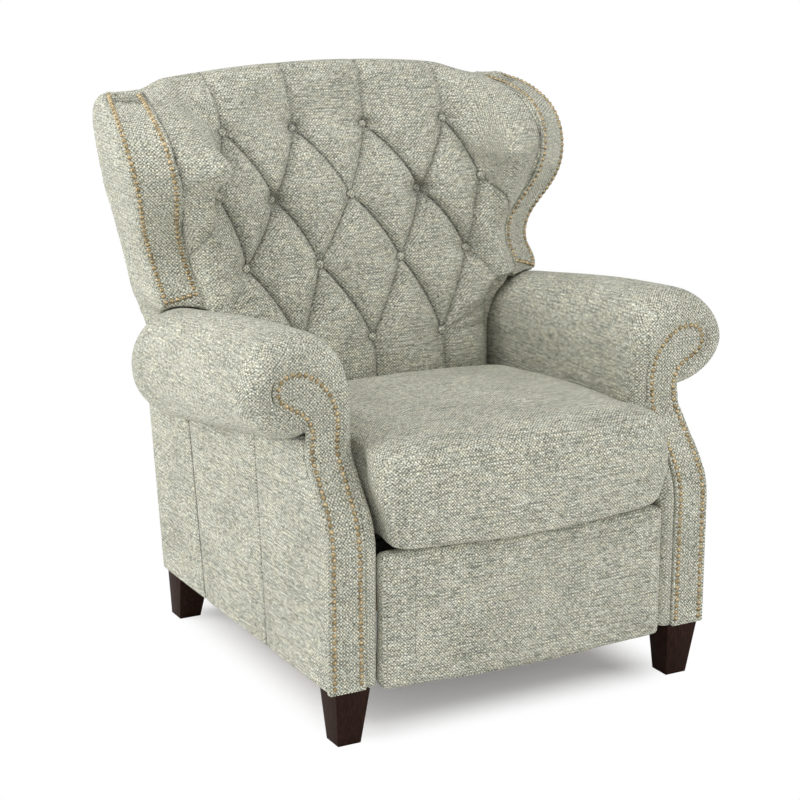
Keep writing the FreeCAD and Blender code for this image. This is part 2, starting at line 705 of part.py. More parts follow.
for place, y, hinge_y in (("front", "Sizes.glide_front_y", front_hinge_y), ("rear", "Sizes.glide_rear_y", rear_hinge_y)):
    link = steel_link(place + "_glide_link", "glide_link", (pin_bore, rod_bore), glide_x, y,
                      "Sizes.glide_pivot_z", "Sizes.glide_lean")
    group(place + "_glide_links", [link, reflected(link)])
    rod = pin(place + "_glide_rod", "-" + base_plate_x + " + 0.3", base_plate_x + " - 0.3", hinge_y,
              glide_top_z, "Sizes.rod_diameter")
    keep(rod, place + "_glide_rod")

# Seat: side plates, a wooden frame, sinuous springs, the deck cloth and the loose cushion.
seat_plate = steel_plate("right_seat_plate", "Sizes.footrest_pivot_y - 15", "Sizes.back_pivot_y + 16",
                         glide_top_z + " - 14", "Sizes.back_pivot_z + 20",
                         [("Sizes.footrest_pivot_y", "Sizes.footrest_pivot_z", pin_bore),
                          (front_hinge_y, glide_top_z, rod_bore),
                          (rear_hinge_y, glide_top_z, rod_bore),
                          ("Sizes.back_pivot_y", "Sizes.back_pivot_z", pin_bore)], seat_plate_x)
mirrored(seat_plate, "left_seat_plate")

rail_top = size("cushion_bottom") - 2 * clear - size("deck_thickness") - size("spring_wire") - clear
rail_low = rail_top - size("seat_rail_height")
thick = size("seat_rail_thickness")
outer = size("mechanism_half")
y_seat0, y_seat1 = size("seat_frame_front"), size("seat_frame_rear")
side_rails = [block(s * outer - (thick if s > 0 else 0), s * outer + (0 if s > 0 else thick),
                    y_seat0 + 4.0, y_seat1, rail_low, rail_top) for s in (1, -1)]
cross_rails = [block(-outer + thick, outer - thick, y, y + thick, rail_low, rail_top)
               for y in (y_seat0 + 4.0, y_seat1 - thick)]
formed("seat_frame", Part.makeCompound(side_rails + cross_rails))


def sinuous_spring(x, z):
    """A flat zig-zag wire that runs from the front rail to the rear rail."""
    pitch, reach = 26.0, 18.0
    start, end = y_seat0 + 12.0, y_seat1 - 12.0
    turns = int((end - start) / pitch)
    pitch = (end - start) / turns
    r = pitch / 2.0
    edges, y, s = [], start, (1 if x > 0 else -1)
    start_x = x - s * reach
    for turn in range(turns):
        a, b = Vector(x - s * reach, y, z), Vector(x + s * reach, y, z)
        edges.append(line(a, b))
        if turn < turns - 1:
            edges.append(arc(b, b + Vector(s * r, r, 0), b + Vector(0, 2 * r, 0)))
        y += pitch
        s = -s
    path = Part.Wire(edges)
    ring = Part.Wire(Part.makeCircle(size("spring_wire") / 2.0, Vector(start_x, start, z), Vector(1, 0, 0)))
    return path.makePipeShell([ring], True, False)


spring_z = rail_top + clear + size("spring_wire") / 2.0
formed("seat_springs", Part.makeCompound([sinuous_spring(x, spring_z) for x in (-165.0, -55.0, 55.0, 165.0)]))
board("seat_deck", "2 * (Sizes.cushion_half_width - 4)", "Sizes.cushion_rear - Sizes.seat_frame_front - 2",
      "Sizes.deck_thickness", "-(Sizes.cushion_half_width - 4)", "Sizes.seat_frame_front + 4",
      "Sizes.cushion_bottom - Sizes.clearance - Sizes.deck_thickness")


def cushion_section(x, y0, y1, z0, z1, r):
    """Side view of the cushion: a bulging front, a crowned top that falls off to the rear."""
    k = r * (1.0 - math.sqrt(0.5))
    q = 0.55 * r
    P = lambda y, z: Vector(x, y, z)
    return Part.Wire([
        line(P(y0 + q, z0), P(y1 - q, z0)),
        arc(P(y1 - q, z0), P(y1 - 0.3 * q, z0 + 0.3 * q), P(y1, z0 + q)),
        line(P(y1, z0 + q), P(y1, z1 - r - 26.0)),
        arc(P(y1, z1 - r - 26.0), P(y1 - k, z1 - k - 26.0), P(y1 - r, z1 - 24.0)),
        arc(P(y1 - r, z1 - 24.0), P(0.42 * y0 + 0.58 * (y1 - r), z1), P(y0 + r, z1 - 2.0)),
        arc(P(y0 + r, z1 - 2.0), P(y0 + k, z1 - k - 1.0), P(y0, z1 - r)),
        arc(P(y0, z1 - r), P(y0 - 5.0, 0.5 * (z0 + z1)), P(y0, z0 + q)),
        arc(P(y0, z0 + q), P(y0 + 0.3 * q, z0 + 0.3 * q), P(y0 + q, z0))])


def seat_cushion():
    """A plump cushion: crowned on top and in front, with rounded corners."""
    half, crown, corner = size("cushion_half_width"), size("cushion_crown"), size("cushion_corner")
    y0, y1 = size("cushion_front"), size("cushion_rear")
    z0, z1 = size("cushion_bottom"), size("cushion_bottom") + size("cushion_height")
    sections = []
    for share in (0.0, 0.35, 0.65, 0.85, 0.93, 0.985, 1.0):
        past = min(1.0, max(0.0, (share - 0.85) / 0.15))
        pull = 0.62 * corner * (1.0 - math.sqrt(1.0 - past ** 2))
        swell = 1.0 - share ** 2
        sections.append((share, y0 + 17.0 * (1.0 - swell) + pull, y1 - 0.3 * pull, z1 + crown * swell - 0.5 * pull))
    ordered = [(-a, b, c, d) for a, b, c, d in reversed(sections[1:])] + sections
    wires = [cushion_section(a * half, b + 5.0, c, z0, d, corner) for a, b, c, d in ordered]
    return Part.makeLoft(wires, True, False)


formed("seat_cushion", seat_cushion())

# Footrest: an upholstered board on two folding links a side, joined by a rod at the knee.

def footrest_pad():
    """The footrest's padding: its face swells to the front and its lower edge sags in the middle."""
    half, top, bottom = size("footrest_half_width"), size("footrest_top"), size("footrest_bottom")
    back = size("front_face") + size("footrest_pad_depth")
    face = size("front_face") - size("footrest_crown")
    sections = []
    for y, inset, sag in ((back, 0.0, 4.0), (front + 12.0, 0.0, 7.0), (front + 3.0, 3.0, 9.0),
                          (front - 4.0, 12.0, 9.0), (face, 60.0, 6.0)):
        r = 14.0
        x0, x1, z0, z1 = -half + inset, half - inset, bottom + 0.7 * inset, top - 0.7 * inset
        k = r * (1.0 - math.sqrt(0.5))
        P = lambda x, z: Vector(x, y, z)
        sections.append(Part.Wire([
            arc(P(x0 + r, z0), P(0.0, z0 - sag), P(x1 - r, z0)),
            arc(P(x1 - r, z0), P(x1 - k, z0 + k), P(x1, z0 + r)),
            line(P(x1, z0 + r), P(x1, z1 - r)), arc(P(x1, z1 - r), P(x1 - k, z1 - k), P(x1 - r, z1)),
            line(P(x1 - r, z1), P(x0 + r, z1)), arc(P(x0 + r, z1), P(x0 + k, z1 - k), P(x0, z1 - r)),
            line(P(x0, z1 - r), P(x0, z0 + r)), arc(P(x0, z0 + r), P(x0 + k, z0 + k), P(x0 + r, z0))]))
    return Part.makeLoft(sections, True, False)


formed("footrest_pad", footrest_pad())
board("footrest_board", "2 * (Sizes.footrest_half_width - 8)", "Sizes.footrest_board",
      "Sizes.footrest_top - Sizes.footrest_bottom - 16", "-(Sizes.footrest_half_width - 8)",
      "Sizes.front_face + Sizes.footrest_pad_depth", "Sizes.footrest_bottom + 8")

rear_link_x = "(Sizes.mechanism_half - Sizes.plate_thickness - Sizes.link_gap)"
front_link_x = "(Sizes.mechanism_half - 2 * Sizes.plate_thickness - 2 * Sizes.link_gap)"
bracket_x = "(Sizes.mechanism_half - 3 * Sizes.plate_thickness - 3 * Sizes.link_gap)"
knee_z = "Sizes.footrest_pivot_z - Sizes.footrest_link"
for place, x, bores in (("rear", rear_link_x, (rod_bore, pin_bore)), ("front", front_link_x, (rod_bore, pin_bore))):
    link = steel_link(place + "_footrest_link", "footrest_link", bores, x, "Sizes.footrest_pivot_y", knee_z)
    group(place + "_footrest_links", [link, reflected(link)])
keep(pin("footrest_knee_rod", "-" + rail_outer + " + 0.3", rail_outer + " - 0.3", "Sizes.footrest_pivot_y", knee_z,
         "Sizes.rod_diameter"), "footrest_knee_rod")
upper_pin = pin("footrest_upper_pin", rear_link_x, seat_plate_x + " + Sizes.plate_thickness", "Sizes.footrest_pivot_y",
                "Sizes.footrest_pivot_z")
group("footrest_pivot_pins", [upper_pin, reflected(upper_pin)])
tilt_pin = pin("footrest_tilt_pin", bracket_x, front_link_x + " + Sizes.plate_thickness", "Sizes.footrest_pivot_y",
               "Sizes.footrest_pivot_z")
group("footrest_bracket_pins", [tilt_pin, reflected(tilt_pin)])


def footrest_bracket():
    """An angle bracket: a flange on the footrest's board and a cheek that holds the pivot."""
    x0 = outer - 3 * size("plate_thickness") - 3 * size("link_gap")
    t = size("plate_thickness")
    y0 = front + size("footrest_pad_depth") + size("footrest_board")
    py, pz = size("footrest_pivot_y"), size("footrest_pivot_z")
    cheek = block(x0, x0 + t, y0, py + 12.0, pz - 30.0, pz + 20.0)
    flange = block(x0 - 26.0, x0, y0, y0 + t, pz - 30.0, pz + 20.0)
    bore = Part.makeCylinder(size("pin_diameter") / 2.0 + size("pin_clearance"), 4 * t, Vector(x0 - t, py, pz),
                             Vector(1, 0, 0))
    return cheek.fuse(flange).cut(bore).removeSplitter()


pair("footrest_bracket", footrest_bracket())

# Back frame: two raked posts, three rails and the webbing across them.

# The profiles of the back and wings are listed for a crown this high. Above the arms their
# heights stretch or shrink with the crown, so the whole upper back keeps its proportions.
LISTED_CROWN = 1075.0
STRETCH_FROM = 655.0
stretch = (size("crown_height") - STRETCH_FROM) / (LISTED_CROWN - STRETCH_FROM)


def raised(z):
    """The real height of a listed one."""
    return z if z <= STRETCH_FROM else STRETCH_FROM + (z - STRETCH_FROM) * stretch


def listed(z):
    """The listed height that a real one stands for."""
    return z if z <= STRETCH_FROM else STRETCH_FROM + (z - STRETCH_FROM) / stretch


def back_rear(z):
    """Depth of the back's rear face at a height: it follows the arms, then stands straighter."""
    knee = size("back_rear_knee")
    return rear_edge(min(z, knee)) + size("back_upper_slope") * max(0.0, z - knee)


panel_t = size("back_panel_thickness") + clear
post_t = panel_t + size("back_post_depth")
web_t = post_t + size("webbing_thickness")
frame_low, frame_high, knee_z_back = size("back_pivot_z"), size("crown_height") - 78.0, size("back_rear_knee")


def back_strip(z0, z1, rearmost, foremost, x0, x1):
    """A member of the back that follows its bent rear line between two heights."""
    levels = [z0] + ([knee_z_back] if z0 < knee_z_back < z1 else []) + [z1]
    fore = [(back_rear(z) - foremost, z) for z in levels]
    aft = [(back_rear(z) - rearmost, z) for z in reversed(levels)]
    return side_prism(fore + aft, x0, x1)


post_out = size("mechanism_half") - size("plate_thickness") - size("link_gap") - clear
post_in = post_out - size("back_post_width")
back_bars = [back_strip(frame_low, frame_high, panel_t, post_t, s * post_in if s > 0 else -post_out,
                        post_out if s > 0 else -post_in) for s in (1, -1)]
for z0 in (frame_low, knee_z_back - 25.0, frame_high - 50.0):
    back_bars.append(back_strip(z0, z0 + 45.0, panel_t, post_t, -post_in, post_in))
formed("back_frame", Part.makeCompound(back_bars))
straps = [back_strip(z0, z0 + 50.0, post_t, web_t, -post_out, post_out)
          for z0 in (375.0, 465.0, raised(670.0), raised(760.0), raised(850.0))]
formed("back_webbing", Part.makeCompound(straps))


def crown_top(x):
    """Height of the crown's ridge: a shallow arch that steps down to the wings beyond its ends."""
    x, half, low = abs(x), size("crown_half"), raised(size("wing_top"))
    arch = size("crown_height") - size("crown_drop") * (x / half) ** 2
    step = min(max((x - half + 46.0) / 66.0, 0.0), 1.0)
    return arch + (low - arch) * step ** 2 * (3.0 - 2.0 * step)


def panel_top(x):
    """Height of the outer back panel's top edge, which the crown laps over."""
    return size("crown_height") - size("crown_lap") - size("crown_drop") * (x / size("crown_half")) ** 2


def back_outline():
    """The back seen from behind: narrow between the arms, swelling to the wings, arched on top."""
    low, half = size("back_panel_bottom"), size("back_lower_half")
    P = lambda x, z: Vector(x, 0, z)
    corner = size("crown_half") + 62.0
    right = [(half, low), (half, 556.0), (392.0, 600.0), (402.0, raised(690.0)), (428.0, raised(800.0)),
             (452.0, raised(930.0)), (corner, panel_top(corner))]
    edges = [line(P(*right[0]), P(*right[1])),
             arc(P(*right[1]), P(half + 52.0, 563.0), P(*right[2])),
             line(P(*right[2]), P(*right[3])),
             arc(P(*right[3]), P(413.0, raised(740.0)), P(*right[4])),
             arc(P(*right[4]), P(447.0, raised(866.0)), P(*right[5])),
             arc(P(*right[5]), P(450.0, raised(972.0)), P(*right[6]))]
    left = [edge.mirror(Vector(0, 0, 0), Vector(1, 0, 0)) for edge in edges]
    crown = arc(P(*right[6]), P(0, panel_top(0)), P(-right[6][0], right[6][1]))
    base = line(P(*right[0]), P(-right[0][0], low))
    return Part.Wire(Part.__sortEdges__(edges + left + [crown, base]))


rear_skin = back_strip(size("back_panel_bottom"), size("crown_height"), 0.0, size("back_panel_thickness"),
                       -500.0, 500.0)
formed("back_panel", rear_skin.common(prism_y(back_outline(), 200.0, 700.0)))

# Tufted back pad. Each row: its height, then (distance from the middle as a share of the tuft
# spacing, depth of the button's bed behind the chair's middle plane) for the buttons of one side.
tuft = size("tuft_spacing")
TUFT_ROWS = [(951.0, ((0.48, 368.0), (1.5, 333.0))),
             (829.0, ((0.0, 267.0), (0.99, 292.0), (1.79, 252.0))),
             (706.0, ((0.55, 226.0), (1.49, 234.0))),
             (562.0, ((0.0, 177.0), (0.96, 177.0)))]


def eased(z, stations):
    """A value that runs straight between stations given as (height, value)."""
    for (za, a), (zb, b) in zip(stations[:-1], stations[1:]):
        if z <= zb:
            return a + (b - a) * max(0.0, (z - za) / (zb - za))
    return stations[-1][1]


def pad_face(x, z):
    """Depth of the pad's puffed front: it rakes back and, higher up, curves forward at the sides."""
    z = listed(z)
    rake = eased(z, [(500.0, 0.0), (562.0, 8.0), (706.0, 58.0), (829.0, 104.0), (890.0, 144.0),
                     (951.0, 190.0), (1010.0, 224.0), (1075.0, 262.0)])
    bow = eased(z, [(706.0, 0.0), (829.0, 12.0), (951.0, 33.0), (1010.0, 28.0), (1060.0, 0.0)])
    return size("back_front") + rake - bow * min(abs(x) / 240.0, 1.0) ** 2


def crease(z):
    """Depth of the crease between the pad and the wings at a height."""
    rake = eased(listed(z), [(655.0, 54.0), (745.0, 84.0), (848.0, 109.0), (957.0, 169.0), (1022.0, 224.0)])
    return size("back_front") + rake


def pad_section(x):
    """Side view of the pad at a place across it; the crown drops towards the sides."""
    top = crown_top(x)
    y0, bottom = size("back_front"), size("back_bottom")
    ridge = back_rear(top) - 0.5 * size("crown_depth")
    low = panel_top(x) + clear
    tail, bend = back_rear(low), back_rear(low) - panel_t
    behind = lambda z: back_rear(z) - web_t - clear
    share = (abs(x) / size("wing_root")) ** 8
    P = lambda y, z: Vector(x, y, z)
    step = frame_high + clear
    skin = [P(y0, 500.0)]
    for z in [raised(each) for each in (570.0, 655.0, 745.0, 829.0, 890.0, 951.0, 1005.0)]:
        skin.append(P(pad_face(x, z) + share * (crease(z) - pad_face(x, z)), z))
    skin.append(P(0.5 * (skin[-1].y + ridge) - 6.0, 0.4 * skin[-1].z + 0.6 * top))
    skin.append(P(ridge, top))
    face = Part.BSplineCurve()
    face.interpolate(skin)
    return Part.Wire([
        line(P(y0, bottom), P(y0, 500.0)),
        face.toShape(),
        arc(P(ridge, top), P(tail - 9.0, top - 13.0), P(tail, low)),
        line(P(tail, low), P(bend, low)),
        line(P(bend, low), P(back_rear(step) - panel_t, step)),
        line(P(back_rear(step) - panel_t, step), P(behind(step), step)),
        line(P(behind(step), step), P(behind(knee_z_back), knee_z_back)),
        line(P(behind(knee_z_back), knee_z_back), P(behind(bottom), bottom)),
        line(P(behind(bottom), bottom), P(y0, bottom))])


root = size("wing_root")
pad_loft = Part.makeLoft([pad_section(s * (root - clear)) for s in (-1.0, -0.66, -0.33, 0.0, 0.33, 0.66, 1.0)],
                         True, False)
low_half = size("back_lower_half")
for s in (1, -1):
    x0, x1 = sorted((s * low_half, s * 400.0))
    pad_loft = pad_loft.cut(block(x0, x1, -100.0, 600.0, 300.0, 655.0))


def channel(a, b):
    """A V-shaped cut from one sunk point to the next, opening towards the front."""
    along = (b - a).normalize()
    side = along.cross(Vector(0, 1, 0)).normalize()
    out = Vector(0, -size("tuft_depth") - 34.0, 0)
    half = 0.5 * (size("tuft_depth") + 34.0)
    apex = Vector(0, -8.0, 0)
    base = polygon([a + apex, a + out + side * half, a + out - side * half])
    return Part.Face(base).extrude(b - a)


button_rows = []
for z, places in TUFT_ROWS:
    right = [Vector(share * tuft, depth, raised(z)) for share, depth in places]
    left = [Vector(-at.x, at.y, at.z) for at in right if at.x > 0.0]
    button_rows.append(left + right)

button_r = size("button_diameter") / 2.0
cuts = []
for row, beds in enumerate(button_rows):
    for bed_at in beds:
        cuts.append(Part.makeCone(button_r + 1.0, button_r + 22.0, 66.0, bed_at, Vector(0, -1, 0)))
        if row + 1 < len(button_rows):
            below = [other for other in button_rows[row + 1] if abs(other.x - bed_at.x) < 0.65 * tuft]
            cuts += [channel(bed_at, other) for other in below]
    if row == 0:
        cuts += [channel(at, Vector(1.03 * at.x, 409.0, raised(1052.0))) for at in beds]
    if row == len(button_rows) - 1:
        cuts += [channel(Vector(at.x, size("back_front") + 12.0, 440.0), at) for at in beds]
back_pad = pad_loft.cut(cuts)
formed("back_pad", back_pad)

buttons = []
for bed_at in sum(button_rows, []):
    disc = Part.makeCylinder(button_r, 3.0, bed_at + Vector(0, -clear, 0), Vector(0, -1, 0))
    dome = Part.makeCone(button_r, 0.5 * button_r, 4.0, bed_at + Vector(0, -3.0 - clear, 0), Vector(0, -1, 0))
    buttons.append(disc.fuse(dome).removeSplitter())
formed("tuft_buttons", Part.makeCompound(buttons))

# Wings: each has a nailed front band that leans out, an outer side and a padded inner side.
# One station a line: height, then distance from the middle and depth of the outer nail row,
# the same for the inner nail row, and the distance from the middle of the outer rear corner.
WING_STATIONS = [
    (560.0, 400.0, 226.0, 346.0, 198.0, 372.0),
    (655.0, 401.0, 233.0, 348.0, 204.0, 400.0),
    (700.0, 404.0, 266.0, 350.5, 238.0, 410.0),
    (745.0, 412.5, 278.0, 358.0, 256.0, 419.0),
    (800.0, 434.0, 252.0, 375.5, 234.0, 431.0),
    (870.0, 454.0, 220.0, 392.0, 191.5, 446.0),
    (930.0, 463.0, 234.0, 401.5, 195.0, 456.0),
    (970.0, 463.5, 266.0, 404.5, 225.0, 460.0),
    (1000.0, 457.0, 314.0, 402.0, 275.0, 459.0),
    (1022.0, 441.0, 386.0, 389.0, 352.0, 448.0),
    (1032.0, 426.0, 430.0, 381.0, 398.0, 431.0),
]


def band(station, margin):
    """The band's two corners at a station, with the unit vector across it and the one into the chair."""
    z, (ox, oy, ix, iy) = raised(station[0]), station[1:5]
    across = Vector(ox - ix, oy - iy, 0).normalize()
    inwards = Vector(-across.y, across.x, 0)
    return Vector(ix, iy, z) - across * margin, Vector(ox, oy, z) + across * margin, inwards


def facing_section(station, reach=0.0, extra=0.0):
    """The band's section; `reach` thickens it forwards and `extra` backwards."""
    inner, outer, inwards = band(station, size("nail_inset") + (1.0 if reach else 0.0))
    deep = inwards * (size("wing_facing_thickness") + extra)
    ahead = inwards * -reach
    return polygon([inner + ahead, outer + ahead, outer + deep, inner + deep])


lap_root = root - size("wing_lap")


def wing_section(station):
    """A level section of a wing: band side, bulging outer side, rear, root and pillowed inner side."""
    inner, outer, inwards = band(station, size("nail_inset"))
    z = raised(station[0])
    deep = inwards * 2.0
    a, b = inner + deep, outer + deep
    rear = back_rear(z) - panel_t
    c = Vector(station[5], max(rear, b.y + 2.0), z)
    d = Vector(lap_root, rear, z)
    e = Vector(lap_root, min(crease(z), rear - 6.0), z)
    belly = (b + c) * 0.5 + Vector(5.0, 0, 0)
    pillow = (e + a) * 0.5 + Vector(-4.0, -9.0, 0)
    return Part.Wire([line(a, b), arc(b, belly, c), line(c, d), line(d, e), arc(e, pillow, a)])


def cap_section(x, fore, brow):
    """Side view of a wing's top: it carries on the crown and then steps down to the band."""
    top = crown_top(x)
    low = panel_top(x) + clear
    tail, base = back_rear(low), raised(1000.0)
    ridge = back_rear(top) - 0.5 * size("crown_depth")
    P = lambda y, z: Vector(x, y, z)
    return Part.Wire([
        arc(P(fore, base), P(brow, base + 22.0), P(ridge, top)),
        arc(P(ridge, top), P(tail - 9.0, 0.7 * top + 0.3 * low), P(tail, low)),
        line(P(tail, low), P(tail - panel_t, low)),
        line(P(tail - panel_t, low), P(tail - panel_t - 1.0, base - 1.0)),
        line(P(tail - panel_t - 1.0, base - 1.0), P(fore, base))])


def laid_back(solid, swing):
    """A fixed solid as the back meets it when the glide links have swung that far."""
    lean, reach = math.radians(size("glide_lean")), size("glide_link")
    left = lean - math.radians(swing)
    shift = Vector(0, reach * (math.sin(left) - math.sin(lean)), reach * (math.cos(left) - math.cos(lean)))
    pivot = Vector(0, size("back_pivot_y"), size("back_pivot_z"))
    tilt = Rotation(Vector(-1, 0, 0), swing * size("back_swing") / size("glide_swing"))
    moved = Placement(shift, Rotation()).multiply(Placement(Vector(0, 0, 0), tilt, pivot))
    copy = solid.copy()
    copy.Placement = moved.inverse().multiply(copy.Placement)
    return copy


arm_room = roll_solid(size("wing_arm_clearance"))
arm_swept = [laid_back(roll_solid(4.0), share * size("glide_swing")) for share in (0.65, 0.78, 0.9, 1.0)]
wing_facing = Part.makeLoft([facing_section(station) for station in WING_STATIONS[1:]], True, False)
wing_facing = wing_facing.cut(arm_room)
band_room = Part.makeLoft([facing_section(station, 40.0, 0.8) for station in WING_STATIONS[1:]], True, False)
wing = Part.makeLoft([wing_section(station) for station in WING_STATIONS], True, False)
cap_count = 8
cap_step = (size("wing_cap_reach") - lap_root) / cap_count
cap = Part.makeLoft([cap_section(lap_root + cap_step * k, 352.0 - 6.0 * k, 374.0 - 2.0 * k)
                     for k in range(cap_count + 1)], True, False)
root_trim = block(root - 60.0, root, 0.0, 600.0, 500.0, size("crown_height") + 60.0)
wing = wing.fuse(cap).cut(root_trim).cut(band_room).cut(arm_room)
wing = max(wing.Solids, key=lambda solid: solid.Volume)
for room in arm_swept:
    wing = wing.cut(room)
wing = max(wing.Solids, key=lambda solid: solid.Volume)
pair("wing_facing", wing_facing)
pair("wing", wing)


def nail_line(points):
    """Evenly pitched places along a smooth curve through points."""
    curve = Part.BSplineCurve()
    curve.interpolate(points)
    edge = curve.toShape()
    count = int(edge.Length / size("nail_pitch"))
    return edge.discretize(Number=count + 1)


row_starts = (Vector(401.0, 234.5, raised(659.0)), Vector(348.5, 216.0, raised(671.5)))
outer_row = nail_line([row_starts[0]] + [Vector(s[1], s[2], raised(s[0])) for s in WING_STATIONS[2:]])
inner_row = nail_line([row_starts[1]] + [Vector(s[3], s[4], raised(s[0])) for s in WING_STATIONS[2:]])
gap_count = 5
bottom_row = [row_starts[0] + (row_starts[1] - row_starts[0]) * (k / float(gap_count)) for k in range(1, gap_count)]
pair("wing_nails", nails_on(front_skin(wing_facing), outer_row[:-1] + inner_row[:-1] + bottom_row))


def back_bracket():
    """A cranked steel plate from the back's pivot to its post."""
    x0 = outer - size("plate_thickness") - size("link_gap")
    py, pz = size("back_pivot_y"), size("back_pivot_z")
    low, high = pz - 15.0, pz + 150.0
    fore = lambda z: back_rear(z) - post_t
    aft = lambda z: back_rear(z) - panel_t - 4.0
    shape = side_prism([(py - 14.0, low), (aft(low), low), (aft(high), high), (fore(high), high),
                        (fore(pz + 15.0), pz + 15.0), (py - 14.0, pz + 15.0)], x0, x0 + size("plate_thickness"))
    bore = Part.makeCylinder(size("pin_diameter") / 2.0 + size("pin_clearance"), 30.0, Vector(x0 - 5.0, py, pz),
                             Vector(1, 0, 0))
    return shape.cut(bore)


pair("back_bracket", back_bracket())
hinge_pin = pin("back_hinge_pin", rear_link_x, seat_plate_x + " + Sizes.plate_thickness", "Sizes.back_pivot_y",
                "Sizes.back_pivot_z")
group("back_hinge_pins", [hinge_pin, reflected(hinge_pin)])

doc.recompute()
failed = [thing.Name for thing in doc.Objects if "Invalid" in thing.State or "Error" in thing.State]
assert not failed, failed
for thing in made:
    assert not thing.Shape.isNull() and thing.Shape.isValid(), thing.Label
    thing.Shape.exportStep("parts/" + thing.Label + ".step")
print(len(made), "pieces")
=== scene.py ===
# %% [markdown]
# # A wing-back push-back recliner
# The chair has rolled arms, a diamond-tufted back with wings, a loose seat cushion and a fold-out
# footrest, all in one tweed, with rows of brass nail heads and dark tapered legs.
# The CAD model is loaded first as a fixed frame. Its steel and wooden parts stay as they are and get
# finishes. Its soft parts are plain solids, so each one is replaced by an upholstered shape.

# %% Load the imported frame
import json
import math
import bmesh
import bpy
import numpy as np
from mathutils import Matrix, Vector
from mathutils.bvhtree import BVHTree


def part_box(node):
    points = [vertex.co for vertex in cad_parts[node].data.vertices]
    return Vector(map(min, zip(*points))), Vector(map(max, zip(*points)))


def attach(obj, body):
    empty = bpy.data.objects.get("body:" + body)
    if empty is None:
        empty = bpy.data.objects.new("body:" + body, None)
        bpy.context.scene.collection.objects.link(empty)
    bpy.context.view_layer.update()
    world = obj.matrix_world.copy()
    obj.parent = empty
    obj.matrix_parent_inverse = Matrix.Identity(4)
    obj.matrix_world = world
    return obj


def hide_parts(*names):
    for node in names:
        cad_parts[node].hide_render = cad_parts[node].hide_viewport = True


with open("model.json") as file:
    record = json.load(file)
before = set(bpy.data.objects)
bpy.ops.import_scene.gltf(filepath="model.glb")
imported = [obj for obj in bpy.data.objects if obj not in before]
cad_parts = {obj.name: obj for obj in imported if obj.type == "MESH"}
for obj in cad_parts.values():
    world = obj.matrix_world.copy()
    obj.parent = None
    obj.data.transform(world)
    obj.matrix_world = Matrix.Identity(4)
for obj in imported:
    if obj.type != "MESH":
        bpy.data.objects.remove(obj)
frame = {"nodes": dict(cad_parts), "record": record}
scene = bpy.context.scene
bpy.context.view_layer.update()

# %% [markdown]
# ## Small helpers
# Operators act on everything that is selected, so each step first selects one object alone.
# The shapes are worked out in millimetres, as the frame's sizes were, and stored in metres.

# %% Selecting and modifying
MM = 0.001


def pick(obj):
    """Select one object and nothing else."""
    if bpy.context.mode != "OBJECT":
        bpy.ops.object.mode_set(mode="OBJECT")
    bpy.ops.object.select_all(action="DESELECT")
    obj.select_set(True)
    bpy.context.view_layer.objects.active = obj
    return obj


def modify(obj, kind, **settings):
    """Add a modifier and press Apply."""
    pick(obj)
    modifier = obj.modifiers.new(kind.lower(), kind)
    for name, value in settings.items():
        setattr(modifier, name, value)
    bpy.ops.object.modifier_apply(modifier=modifier.name)
    return obj


def joined(pieces, name):
    """Join several objects into one and name it."""
    pick(pieces[0])
    for obj in pieces:
        obj.select_set(True)
    bpy.ops.object.join()
    bpy.context.object.name = name
    return bpy.context.object


def clean(obj, merge, outwards):
    """Merge points that lie within merge millimetres, and if asked turn the faces outwards."""
    pick(obj)
    bpy.ops.object.mode_set(mode="EDIT")
    bpy.ops.mesh.select_all(action="SELECT")
    bpy.ops.mesh.remove_doubles(threshold=merge * MM)
    if outwards:
        bpy.ops.mesh.normals_make_consistent(inside=False)
    bpy.ops.object.mode_set(mode="OBJECT")


# %% Reading and moving points
def points(obj):
    """The mesh's points in millimetres."""
    flat = np.empty(len(obj.data.vertices) * 3)
    obj.data.vertices.foreach_get("co", flat)
    return flat.reshape(-1, 3) / MM


def normals(obj):
    """The way the surface faces at each point."""
    flat = np.empty(len(obj.data.vertices) * 3)
    obj.data.vertices.foreach_get("normal", flat)
    return flat.reshape(-1, 3)


def set_points(obj, places):
    """Move the mesh's points to places in millimetres."""
    obj.data.vertices.foreach_set("co", (places * MM).ravel())
    obj.data.update()


def ramp(value, low, high):
    """Zero up to low, one from high on, and even between; a falling ramp has low above high."""
    return np.clip((value - low) / (high - low), 0.0, 1.0)


def eased(share):
    """A share from 0 to 1 that starts and ends gently."""
    return share ** 2 * (3.0 - 2.0 * share)


def bell(away, width):
    """One in the middle, falling off on both sides."""
    return np.exp(-(away / width) ** 2)


# %% New pieces
FINE_MERGE = 0.02


def mesh_piece(name, places, faces, fold, merge):
    """A closed object from points in mm and faces; fold says how much painted shade each point gets."""
    mesh = bpy.data.meshes.new(name)
    mesh.from_pydata([tuple(p) for p in np.asarray(places) * MM], [], faces)
    # the fold attribute carries painted shade, which the tweed reads
    mesh.attributes.new("fold", "FLOAT", "POINT").data.foreach_set("value", fold)
    obj = bpy.data.objects.new(name, mesh)
    scene.collection.objects.link(obj)
    clean(obj, merge, outwards=True)
    bpy.ops.object.shade_smooth()
    return obj


def padded_copy(node, name, voxel, rounds):
    """A soft version of a CAD solid: rebuilt in squares of voxel mm, then smoothed to round it."""
    obj = bpy.data.objects.new(name, frame["nodes"][node].data.copy())
    scene.collection.objects.link(obj)
    clean(obj, FINE_MERGE, outwards=False)
    modify(obj, "REMESH", mode="VOXEL", voxel_size=voxel * MM, use_smooth_shade=True)
    return modify(obj, "SMOOTH", factor=0.5, iterations=rounds)


def fit(obj, body, material, nodes=()):
    """Give a finished piece its material and body, and hide the CAD nodes it stands for."""
    obj.data.materials.clear()
    obj.data.materials.append(material)
    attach(obj, body)
    if nodes:
        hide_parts(*nodes)
    print(obj.name, len(obj.data.polygons), "faces")
    return obj


